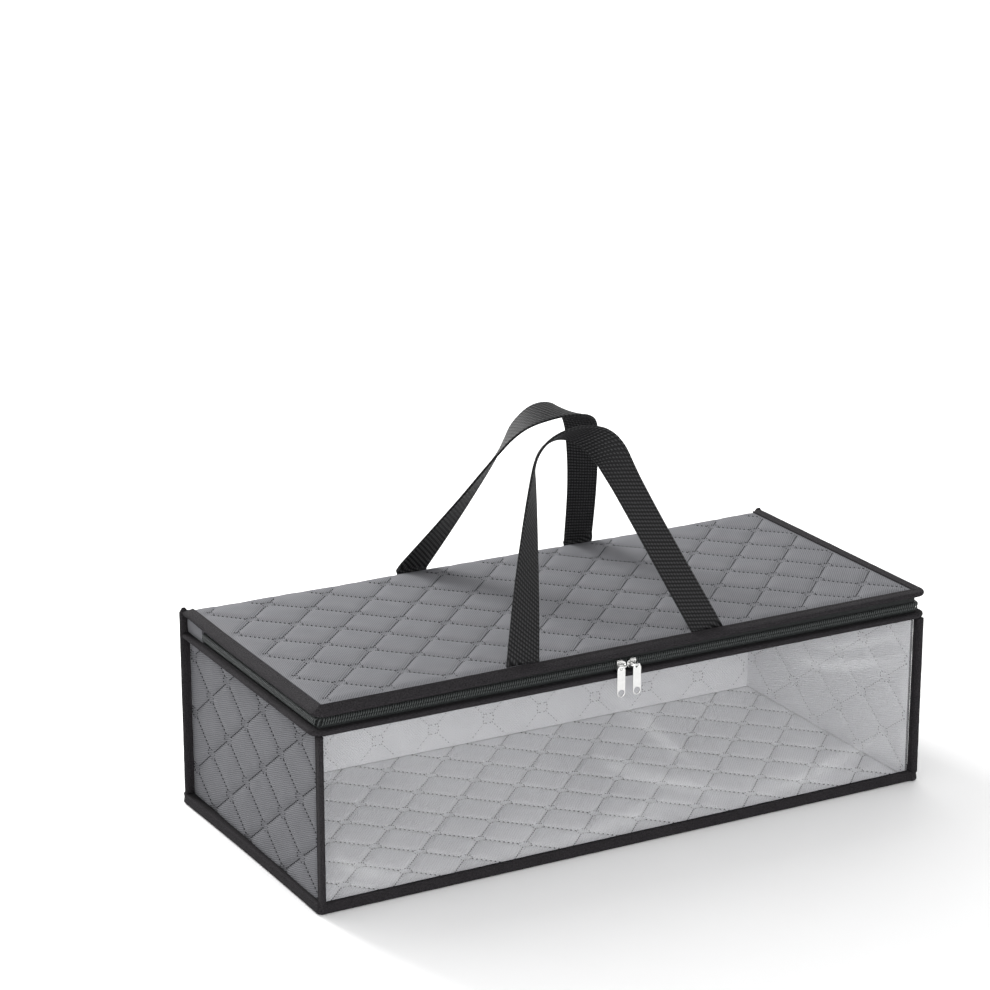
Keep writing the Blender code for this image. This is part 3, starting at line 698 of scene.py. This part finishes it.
def folded_section(width, thickness, top, droop, pinch=1.0):
    """A tape folded over a seam: pressed thin where it is sewn, full and round at its fold."""
    slope = math.radians(droop)
    half = thickness / 2 * pinch
    reach = width - half
    start = Vector((GAP, top - thickness / 2 / math.cos(slope)))
    run = Vector((math.cos(slope), -math.sin(slope)))
    up = Vector((math.sin(slope), math.cos(slope)))
    tip = start + run * (reach - GAP)
    upper, lower = [], []
    for part, full in ((0.0, 0.96), (0.16, 0.86), (0.3, 0.80), (0.45, 0.92), (0.65, 1.0), (0.85, 1.0)):
        middle = start.lerp(tip, part)
        upper.append(middle + up * half * full)
        lower.append(middle - up * half * full)
    bend = []
    for k in range(9):
        angle = math.pi * (0.5 - k / 8)
        bend.append(tip + run * half * math.cos(angle) + up * half * math.sin(angle))
    return [(p.x, p.y) for p in upper + bend + lower[::-1]]


def place_section(section, point, out):
    return [point + out * along + Vector((0, 0, up)) for along, up in section]


def soften(ring, seed, amount):
    """Small uneven swells over a tape's surface, which stays above the floor."""
    centre = sum(ring, Vector()) / len(ring)
    made = []
    for p in ring:
        spot = Vector((p.x * 60 + seed, p.y * 60, p.z * 160))
        ripple = noise.noise(spot * 1.1) * 0.7 + noise.noise(spot * 3.1) * 0.3
        swollen = p + (p - centre).normalized() * ripple * amount
        made.append(Vector((swollen.x, swollen.y, max(swollen.z, 0.0))))
    return made


def pressed(out, share):
    """How full a tape is: pressed to a share of its thickness where it turns a corner."""
    return share if abs(abs(out.x) - abs(out.y)) < 0.2 and abs(out.x) > 0.3 else 1.0


def base_section(far):
    """The base tape's section: flat below, round at its two outer edges."""
    height, thick = BASE_TAPE["height"], BASE_TAPE["thickness"]
    r = thick * 0.42
    turn = [math.pi / 2 * k / 5 for k in range(1, 6)]
    section = [(GAP, 0.0), (GAP + thick * 0.4, 0.0), (far - r, 0.0)]
    section += [(far - r + r * math.sin(a), r - r * math.cos(a)) for a in turn]
    section += [(far - 0.0003, height * 0.45), (far - 0.0006, height * 0.62), (far - 0.0002, height - r)]
    section += [(far - r + r * math.cos(a), height - r + r * math.sin(a)) for a in turn]
    return section + [(GAP, height)]


def lay_tapes(tape, thread):
    rows = []

    def lay(name, node_name, rings, normals, seed, swell, edge=2, closed=False):
        """Sweeps one tape and keeps the line that its stitches follow."""
        soft = [soften(ring, seed, swell) for ring in rings]
        finish_piece(sweep(name, soft, [tape], closed=closed), "case", "seam_tape", node_name)
        rows.append(([ring[edge] for ring in soft], normals))

    upright = Vector((0, 0, 1))
    path = plan_path(SHEET_HALF, LID_FRONT_Y, RUN_BACK_Y, 0.0005)
    rings = []
    for point, out, gone in path:
        droop = read_table(LID_TAPE_DROOP, gone / path[-1][2])
        section = folded_section(*LID_TAPE.values(), droop, pressed(out, 0.84))
        rings.append(place_section(section, point, out))
    lay("lid_tape", "lid_binding", rings, [upright] * len(path), 1.0, 0.00022)

    path = plan_path(HALF_LENGTH, FRONT_Y, RUN_BACK_Y, 0.003)
    rings = []
    for point, out, _ in path:
        section = folded_section(*RIM_TAPE.values(), 0, pressed(out, 0.86))
        rings.append(place_section(section, point, out))
    lay("rim_tape", "rim_binding", rings, [upright] * len(path), 5.0, 0.0002)

    path = plan_path(HALF_LENGTH, FRONT_Y, BACK_Y, 0.0005, closed=True)
    rings = []
    for point, out, _ in path:
        forward = min(1.0, max(0.0, (BACK_Y - point.y) / (BACK_Y - FRONT_Y)))
        splay = BASE_TAPE["front_splay"] * max(0.0, out.x) * forward
        splay += BASE_TAPE["back_splay"] * max(0.0, -out.x) * (1 - forward) ** 2
        rings.append(place_section(base_section(GAP + BASE_TAPE["thickness"] + splay), point, out))
    outs = [out for _, out, _ in path]
    lay("base_tape", "bottom_binding", rings, outs, 9.0, 0.00018, edge=9, closed=True)

    for name, side, end, lean, thickness, rise in CORNER_TAPES:
        if end < 0:
            out, across = Vector((0, -1, 0)), Vector((-side, 0, 0))
            wall, edge = -FRONT_Y, -HALF_LENGTH + rise
            top = RIM_TAPE["top"] - RIM_TAPE["thickness"] - GAP
        else:
            out, across = Vector((side, 0, 0)), Vector((0, 1, 0))
            wall, edge = HALF_LENGTH, BACK_Y
            top = BACK_CORNER_TOP
        section = folded_section(CORNER_TAPE_WIDTH, thickness, edge, lean)
        plan = [out * (wall + far) + across * aside for far, aside in section]
        centre = sum(plan, Vector()) / len(plan)
        low = BASE_TAPE["height"] + GAP
        rings = []
        for z in np.linspace(low, top, int((top - low) / 0.0035)):
            left = (top - z) / thickness
            shrink = 1.0 if left >= 1 or end < 0 else 0.35 + 0.65 * math.sqrt(1 - (1 - left) ** 2)
            rings.append([centre + (p - centre) * shrink + upright * float(z) for p in plan])
        seed = 13.0 + side + 2 * end
        lay(name.replace("binding", "tape"), name, rings, [across] * len(rings), seed, 0.0002)

    groups = []
    for line, normals in rows:
        points, outs = (np.array([tuple(v) for v in vectors]) for vectors in (line, normals))
        lengths = lengths_along(points)
        at = np.arange(0.002, lengths[-1] - 0.002, TAPE_STITCH_PITCH)
        spots = between(at, lengths, points)
        ahead = between(at + 0.0005, lengths, points) - spots
        groups.append((spots, ahead, between(at, lengths, outs), *TAPE_STITCH))
    finish_piece(dash_object("tape_stitches", groups, thread), "case", "seam_tape")


def tape_underside(share, out):
    slope = math.radians(read_table(LID_TAPE_DROOP, share))
    return LID_TAPE["top"] - TAPE / math.cos(slope) - max(0.0, out - GAP) * math.tan(slope)


def lay_zip(zip_cloth, coil, cloth):
    path = plan_path(HALF_LENGTH, FRONT_Y, RUN_BACK_Y, 0.003)
    total = path[-1][2]
    lower, upper = [], []
    for point, out, gone in path:
        reach = HALF_LENGTH - SHEET_HALF if abs(out.x) > 0.5 else 0.001
        under_lid = tape_underside(gone / total, reach) - 3 * GAP
        strips = ((lower, ZIP_TAPE_LOW, CHAIN_Z - GAP / 2), (upper, CHAIN_Z + GAP / 2, under_lid))
        for rings, low, high in strips:
            section = [(-ZIP_TAPE, low), (0, low), (0, high), (-ZIP_TAPE, high)]
            rings.append(place_section(section, point, out))
    for rings, level, node_name in ((lower, "low", "zip_tape_lower"), (upper, "high", "zip_tape_upper")):
        strip = sweep("zip_tape_" + level, rings, [zip_cloth], sharp=40)
        finish_piece(strip, "case", "zip_cloth", node_name)

    chain = plan_path(HALF_LENGTH, FRONT_Y, ZIP_END_Y, 0.003)
    lengths = np.array([gone for _, _, gone in chain])
    places = np.array([tuple(point) for point, _, _ in chain])
    outs = np.array([tuple(out) for _, out, _ in chain])
    at = np.arange(0.0006, lengths[-1] - 0.0006, TOOTH_PITCH)
    spot = between(at, lengths, places)
    out = unit(between(at, lengths, outs))
    run = np.stack([-out[:, 1], out[:, 0], np.zeros(len(at))], 1)
    arc = np.array([(0.0, 3.1), (0.9, 3.05), (1.75, 2.35), (2.1, 1.3), (1.9, 0.35), (1.2, 0.05)])
    ways = unit(np.concatenate([arc[1:], arc[-1:]]) - np.concatenate([arc[:1], arc[:-1]]))
    angles = math.pi * (np.arange(4) + 0.5) / 2
    points = []
    for row in (-1, 1):
        for (deep, up), (way_out, way_up) in zip(arc, ways):
            slide = (TOOTH_PITCH / 2 if row > 0 else 0.0) + row * (up - 1.5) * 0.0004
            level = np.array([0, 0, CHAIN_Z + row * up * 0.001])
            middle = spot + run * slide + out * (GAP + deep * 0.001) + level
            side = out * way_up + np.array([0, 0, -row * way_out])
            for angle in angles:
                wide, tall = TOOTH_WIDTH * math.cos(angle), TOOTH_HEIGHT * math.sin(angle)
                points.append(middle + run * wide + side * tall)
    ring = 4 * len(arc)
    points = np.array(points).reshape(2, ring, len(at), 3).transpose(0, 2, 1, 3).reshape(-1, 3)
    faces = [(3, 2, 1, 0), (ring - 4, ring - 3, ring - 2, ring - 1)]
    for a in range(0, ring - 4, 4):
        for j, k in ((0, 1), (1, 2), (2, 3), (3, 0)):
            faces.append((a + j, a + k, a + 4 + k, a + 4 + j))
    faces = np.array(faces)
    faces = (faces[None] + ring * np.arange(2 * len(at))[:, None, None]).reshape(-1, 4)
    teeth = mesh_object("zip_coil", points, faces, [coil])
    turn_outwards(teeth)
    finish_piece(teeth, "case", "zip_chain", "zip_chain")

    inner, outer = GAP, GAP + 0.0018
    length = 2 * (RUN_BACK_Y - FRONT_Y) + 2 * HALF_LENGTH
    out_from_lid = HALF_LENGTH - SHEET_HALF + outer
    for side, name in ((-1, "zip_end_left"), (1, "zip_end_right")):
        rings = []
        for i in range(13):
            y = ZIP_END_Y + GAP + (RUN_BACK_Y - ZIP_END_Y - GAP) * i / 12
            share = (RUN_BACK_Y - y) / length
            share = 1 - share if side > 0 else share
            high = tape_underside(share, out_from_lid) - 3 * GAP
            low = RIM_TAPE["top"] + GAP
            puff = 0.0006 * math.sin(math.pi * i / 12)
            section = [(inner, low), (outer - 0.0004, low), (outer + puff, low * 0.7 + high * 0.3)]
            section += [(outer + puff, low * 0.3 + high * 0.7), (outer - 0.0004, high), (inner, high)]
            rings.append(place_section(section, Vector((side * HALF_LENGTH, y, 0)), Vector((side, 0, 0))))
        finish_piece(sweep(name + "_cloth", rings, [cloth], sharp=50), "case", "quilted_cloth", name)


# Sliders and pulls


def plate(name, outlines, thickness, bevel, finish, steps=3):
    """A flat plate in X and Z with holes and rounded edges, from its outlines."""
    curve = bpy.data.curves.new(name, "CURVE")
    curve.dimensions = "2D"
    curve.fill_mode = "BOTH"
    curve.extrude = thickness / 2 - bevel
    curve.bevel_depth = bevel
    curve.bevel_resolution = steps
    curve.offset = -bevel
    for outline in outlines:
        spline = curve.splines.new("POLY")
        spline.points.add(len(outline) - 1)
        for point, (x, z) in zip(spline.points, outline):
            point.co = (x, z, 0, 1)
        spline.use_cyclic_u = True
    source = bpy.data.objects.new(name, curve)
    bpy.context.scene.collection.objects.link(source)
    graph = bpy.context.evaluated_depsgraph_get()
    mesh = bpy.data.meshes.new_from_object(source.evaluated_get(graph))
    bpy.data.objects.remove(source)
    mesh.transform(Matrix.Rotation(math.pi / 2, 4, "X"))
    mesh.materials.clear()
    mesh.materials.append(finish)
    mesh.shade_smooth()
    mesh.set_sharp_from_angle(angle=math.radians(40))
    made = bpy.data.objects.new(name, mesh)
    bpy.context.scene.collection.objects.link(made)
    return made


def circle(x, z, radius, count=32):
    turn = [2 * math.pi * k / count for k in range(count)]
    return [(x + radius * math.cos(a), z + radius * math.sin(a)) for a in turn]


def rounded(points, radius, steps=5):
    """An outline with its corners rounded."""
    made = []
    count = len(points)
    for i in range(count):
        before, here, after = (Vector(points[(i + k) % count]) for k in (-1, 0, 1))
        back, on = (before - here), (after - here)
        cut = min(radius, back.length * 0.45, on.length * 0.45)
        a, b = here + back.normalized() * cut, here + on.normalized() * cut
        for k in range(steps + 1):
            t = k / steps
            made.append(tuple(a * (1 - t) ** 2 + here * 2 * t * (1 - t) + b * t * t))
    return made


def tube(name, points, radius, finish, sides=12, squash=1.0):
    """A round rod through some points, with an upright squash."""
    rings = []
    for i, point in enumerate(points):
        before, after = points[max(i - 1, 0)], points[min(i + 1, len(points) - 1)]
        forward = (after - before).normalized()
        up = Vector((0, 0, 1))
        aside = forward.cross(up).normalized()
        angles = [2 * math.pi * k / sides for k in range(sides)]
        rings.append([point + (aside * math.cos(a) + up * math.sin(a) * squash) * radius for a in angles])
    return sweep(name, rings, [finish])


def merge(target, *others):
    """Joins meshes that share one finish into the first object."""
    data = bmesh.new()
    data.from_mesh(target.data)
    for other in others:
        other.data.transform(other.matrix_world)
        data.from_mesh(other.data)
    data.to_mesh(target.data)
    data.free()
    for other in others:
        bpy.data.objects.remove(other)
    return target


def lay_sliders(metal):
    chain_face = FRONT_Y - GAP - 0.0022
    inner = chain_face - GAP
    outer = inner - 0.0015
    for side, word in ((-1, "left"), (1, "right")):
        middle = SLIDER_X[side]
        far, near = side * 0.0041, -side * 0.0041
        nose = [(near * 0.1, -0.0040), (near * 0.75, -0.0026), (near, -0.0009)]
        shield = [(far, 0.0038), (far, -0.0038)] + nose + [(x, -z) for x, z in nose[::-1]]
        face = plate(f"slider_{word}_body", [rounded(shield, 0.0012)], 0.0015, 0.0004, metal)
        face.data.transform(Matrix.Translation((middle, (inner + outer) / 2, CHAIN_Z)))
        lips = []
        for up in (-1, 1):
            lip = [
                (far * 0.92, up * 0.00355), (far * 0.92, up * 0.0042),
                (near * 0.2, up * 0.0042), (near * 0.2, up * 0.00355),
            ]
            edge = plate(f"slider_{word}_lip", [lip], 0.0030, 0.0002, metal)
            edge.data.transform(Matrix.Translation((middle, outer + 0.0021, CHAIN_Z)))
            lips.append(edge)
        bar_y = outer - 0.0042
        route = []
        for k in range(17):
            angle = math.pi * k / 16
            x = middle + side * 0.0012 - 0.0038 * math.cos(angle)
            y = outer + 0.0004 - (outer + 0.0004 - bar_y) * math.sin(angle) ** 0.6
            route.append(Vector((x, y, CHAIN_Z)))
        bridge = tube(f"slider_{word}_bridge", route, 0.0008, metal, squash=1.25)
        merge(face, bridge, *lips)
        finish_piece(face, "case", "slider_metal", f"slider_{word}")

        neck, half, low = 0.0021, 0.0035, -0.0240 + 0.0035
        outline = [(neck, 0.0012), (half, -0.0020), (half, low)]
        turn = np.linspace(0.1, math.pi - 0.1, 17)
        outline += [(half * math.cos(a), low - half * math.sin(a)) for a in turn]
        outline += [(-half, low), (-half, -0.0020), (-neck, 0.0012)]
        ring = circle(0, low, 0.0027, 32)
        eye = circle(0, -0.0007, 0.0014, 24)
        tab = plate(f"pull_{word}_tab", [outline, ring[::-1], eye[::-1]], 0.0012, 0.00028, metal)
        tab.data.transform(Matrix.Translation((PULL_X[side], bar_y, CHAIN_Z)))
        finish_piece(tab, f"pull_{word}", "slider_metal", f"pull_{word}")


# Handles


def arch_run(half_span, height, radius, steps):
    """Leg, round top and leg of a handle in its own plane: (share, place, forward)."""
    low, high = 0.0, math.pi / 2 - 0.2
    for _ in range(50):
        lean = (low + high) / 2
        reach = radius * math.cos(lean) + (height - radius + radius * math.sin(lean)) * math.tan(lean)
        if reach < half_span:
            low = lean
        else:
            high = lean
    knee = Vector((radius * math.cos(lean), height - radius + radius * math.sin(lean)))
    leg = knee.y / math.cos(lean)
    top = radius * (math.pi - 2 * lean)
    length = 2 * leg + top
    run = []
    for i in range(steps + 1):
        share = i / steps
        gone = length * min(share, 1 - share)
        if gone < leg:
            part = gone / leg
            place = Vector((-half_span + (half_span - knee.x) * part, knee.y * part))
            forward = Vector((math.sin(lean), math.cos(lean)))
        else:
            angle = math.pi - lean - (gone - leg) / radius
            place = Vector((radius * math.cos(angle), height - radius + radius * math.sin(angle)))
            forward = Vector((math.sin(angle), -math.cos(angle)))
        if share > 0.5:
            place.x, forward.y = -place.x, -forward.y
        run.append((share, place, forward))
    return run, length


def webbing_section():
    """The strap's cut end: flat faces and round woven edges, with its place across."""
    half, thick = WEBBING_WIDTH / 2, WEBBING_THICKNESS / 2
    flat = np.linspace(half - 0.0008, -half + 0.0008, 15)
    upper = [(w, thick * (1.0 + 0.12 * (abs(w) > half * 0.85))) for w in flat]
    upper += [(-half + 0.0002, thick * 0.75), (-half, 0.0), (-half + 0.0002, -thick * 0.75)]
    return [(-w, -t) for w, t in upper] + upper


def lay_handle(name, sizes, twist, foot, towards, sewn, webbing):
    height = math.hypot(sizes["rise"], sizes["reach"])
    up = Vector((0, towards * sizes["reach"] / height, sizes["rise"] / height))
    across = Vector((1, 0, 0))
    normal = across.cross(up).normalized()
    section = webbing_section()
    run_of, length = arch_run(sizes["half_span"], height, HANDLE_TOP_RADIUS, 180)
    rings, gone = [], []
    for share, place, forward in run_of:
        aside = sizes["offset"] * math.sin(math.pi / 2 * min(1.0, place.y / height))
        middle = foot + across * (place.x + aside) + up * place.y
        run = across * forward.x + up * forward.y
        inward = across * forward.y - up * forward.x
        turn = math.radians(follow_table(twist, share))
        wide = inward * math.cos(turn) + normal * math.sin(turn)
        thick = run.cross(wide)
        ring = [middle + wide * w + thick * t for w, t in section]
        if share in (0.0, 1.0):
            ring = [p - run * ((p.z - foot.z) / run.z) for p in ring]
        rings.append(ring)
        gone.append(share * length)
    for part in (0.08, 0.2, 0.4, 0.6, 0.8, 1.0) if sewn else ():
        for side in (-1, 1):
            middle = foot + across * (side * sizes["half_span"]) - Vector((0, 0, sewn * part))
            wide = across * -side
            thick = Vector((0, 0, -side)).cross(wide)
            ring = [middle + wide * w + thick * t for w, t in section]
            rings.insert(0 if side < 0 else len(rings), ring)
            gone.insert(0 if side < 0 else len(gone), -sewn * part if side < 0 else length + sewn * part)
    made = sweep(name + "_webbing", rings, [webbing], lengths=gone, across=[w for w, _ in section])
    finish_piece(made, "case", "webbing", name)
    return made


def lay_handles(webbing):
    off_wall = WEBBING_THICKNESS / 2 + GAP
    front_foot = Vector((FRONT_HANDLE["centre"], LID_FRONT_Y + off_wall, TOP - 0.001 + 2 * GAP))
    lay_handle("handle_front", FRONT_HANDLE, FRONT_TWIST, front_foot, 1, 0.0, webbing)
    back_foot = Vector((BACK_HANDLE["centre"], BACK_Y + off_wall, TOP))
    lay_handle("handle_back", BACK_HANDLE, BACK_TWIST, back_foot, -1, SEWN_END, webbing)


# Clear front

# Creases of the film: start and end (x, z) as shares of its width and height, width and depth in metres
CREASES = [
    ((0.46, 0.95), (0.62, 0.30), 0.004, 0.0011),
    ((0.50, 0.98), (0.56, 0.45), 0.003, 0.0008),
    ((0.44, 0.55), (0.66, 0.12), 0.005, 0.0010),
    ((0.80, 0.98), (0.99, 0.86), 0.004, 0.0010),
    ((0.78, 0.90), (0.97, 0.70), 0.005, 0.0007),
    ((0.04, 0.10), (0.22, 0.02), 0.004, 0.0009),
    ((0.02, 0.30), (0.12, 0.04), 0.005, 0.0008),
    ((0.28, 0.06), (0.58, 0.14), 0.006, 0.0008),
    ((0.70, 0.10), (0.95, 0.24), 0.006, 0.0008),
]


def lay_film(film):
    width, height = 2 * HALF_LENGTH, WALL_TOP - WALL_FOOT
    edge = HALF_LENGTH - 0.0011
    columns = np.linspace(-edge, edge, 201)
    rows = np.linspace(WALL_FOOT, WALL_TOP, 61)
    x, z = (grid.reshape(-1) for grid in np.meshgrid(columns, rows))
    fade = edge_fade(x, z, (-edge, edge, WALL_FOOT, WALL_TOP), 0.02)
    spots = np.stack([x, np.zeros_like(x), z], 1)
    bulge = 0.0012 * soft_noise(spots * np.array([1.0, 1.0, 2.0]), 9.0, 2.0)
    bulge += 0.0005 * soft_noise(spots * np.array([1.0, 1.0, 1.6]), 30.0, 6.0)
    crease_glare = np.zeros_like(x)
    for (u0, v0), (u1, v1), size, depth in CREASES:
        start = np.array([(u0 - 0.5) * width, v0 * height + WALL_FOOT])
        end = np.array([(u1 - 0.5) * width, v1 * height + WALL_FOOT])
        way = end - start
        part = ((x - start[0]) * way[0] + (z - start[1]) * way[1]) / (way @ way)
        held = np.clip(part, 0, 1)
        bend = 0.004 * np.sin(part * 5.0)
        away = np.hypot(x - start[0] - held * way[0], z - start[1] - held * way[1] + bend)
        strength = np.exp(-((away / size) ** 2)) * np.sin(np.pi * np.clip(part, 0.02, 0.98)) ** 0.5
        crease_glare = np.maximum(crease_glare, strength)
        bulge += depth * 0.25 * strength
    y = FRONT_Y + 0.0002 - fade * (bulge + 0.0006)
    outer = np.stack([x, y, z], 1)
    inner = outer + np.array([0, 0.0006, 0])
    count = len(x)
    squares, ring, ahead = sheet_grid(len(rows), len(columns))
    faces = np.stack(squares, 1)
    rim = np.stack([ring, ring + count, ahead + count, ahead], 1)
    every = np.concatenate([faces, faces[:, ::-1] + count, rim])
    # The crease map only drives the film's painted glare along its creases.
    crease_glare_map = {"crease_glare": np.concatenate([crease_glare * fade] * 2)}
    made = mesh_object("front_film", np.concatenate([outer, inner]), every, [film], attributes=crease_glare_map)
    finish_piece(made, "case", "clear_film", "front_window")


# Room

# Lights: name, place, target, size and power in watts
LIGHTS = [
    ("sky_panel", (0.0, 6.5, 5.5), (0, 2.0, 0), (16.0, 9.0), 420),
    ("back_light", (-0.5, 2.2, 1.25), (0, 0, 0.15), (0.9, 0.6), 72),
    ("fill_light", (-0.7, -2.3, 0.9), (0, 0, 0.08), (1.6, 1.0), 30),
]
CAMERA_PLACE = (-1.13445, -1.98230, 0.96667)
CAMERA_RIGHT = (0.87808, -0.47851, -0.00013)
CAMERA_FORWARD = (0.45655, 0.83788, -0.29921)


def lay_room():
    size = 14.0
    points = [(-size, -size, -0.0004), (size, -size, -0.0004), (size, size, -0.0004), (-size, size, -0.0004)]
    floor = mesh_object("floor", points, [(0, 1, 2, 3)], [pale_floor()])

    for name, place, target, size, power in LIGHTS:
        light = bpy.data.lights.new(name, "AREA")
        light.shape = "RECTANGLE"
        light.size, light.size_y = size
        light.energy = power
        made = bpy.data.objects.new(name, light)
        made.location = place
        made.rotation_euler = (Vector(target) - Vector(place)).to_track_quat("-Z", "Y").to_euler()
        bpy.context.scene.collection.objects.link(made)

    world = bpy.data.worlds.new("studio")
    world.use_nodes = True
    background = world.node_tree.nodes["Background"]
    background.inputs[0].default_value = (1.0, 1.0, 1.0, 1.0)
    background.inputs[1].default_value = 0.80
    bpy.context.scene.world = world
    bpy.context.scene.view_settings.view_transform = "Standard"

    camera = bpy.data.cameras.new("camera")
    camera.sensor_width = 36.0
    camera.lens = 110.86
    camera.clip_end = 60.0
    seat = bpy.data.objects.new("camera", camera)
    forward = Vector(CAMERA_FORWARD).normalized()
    up = Vector(CAMERA_RIGHT).cross(forward).normalized()
    right = forward.cross(up).normalized()
    turn = Matrix((right, up, -forward)).transposed().to_4x4()
    seat.matrix_world = Matrix.Translation(CAMERA_PLACE) @ turn
    bpy.context.scene.collection.objects.link(seat)
    bpy.context.scene.camera = seat


def main():
    lay_room()
    outer, inner = cloth_outer(), cloth_inner()
    thread = stitch_thread()
    tape = tape_cloth("seam_tape", (0.0052, 0.0048, 0.0056), (0.041, 0.0375, 0.041))
    tape_thread = tape_cloth("tape_thread", (0.010, 0.010, 0.010), (0.030, 0.030, 0.030), 0.6)
    lay_panels(outer, inner, thread)
    lay_tapes(tape, tape_thread)
    lay_zip(zip_tape_cloth(), zip_coil(), outer)
    lay_sliders(slider_metal())
    lay_handles(webbing_cloth())
    lay_film(clear_film())


main()
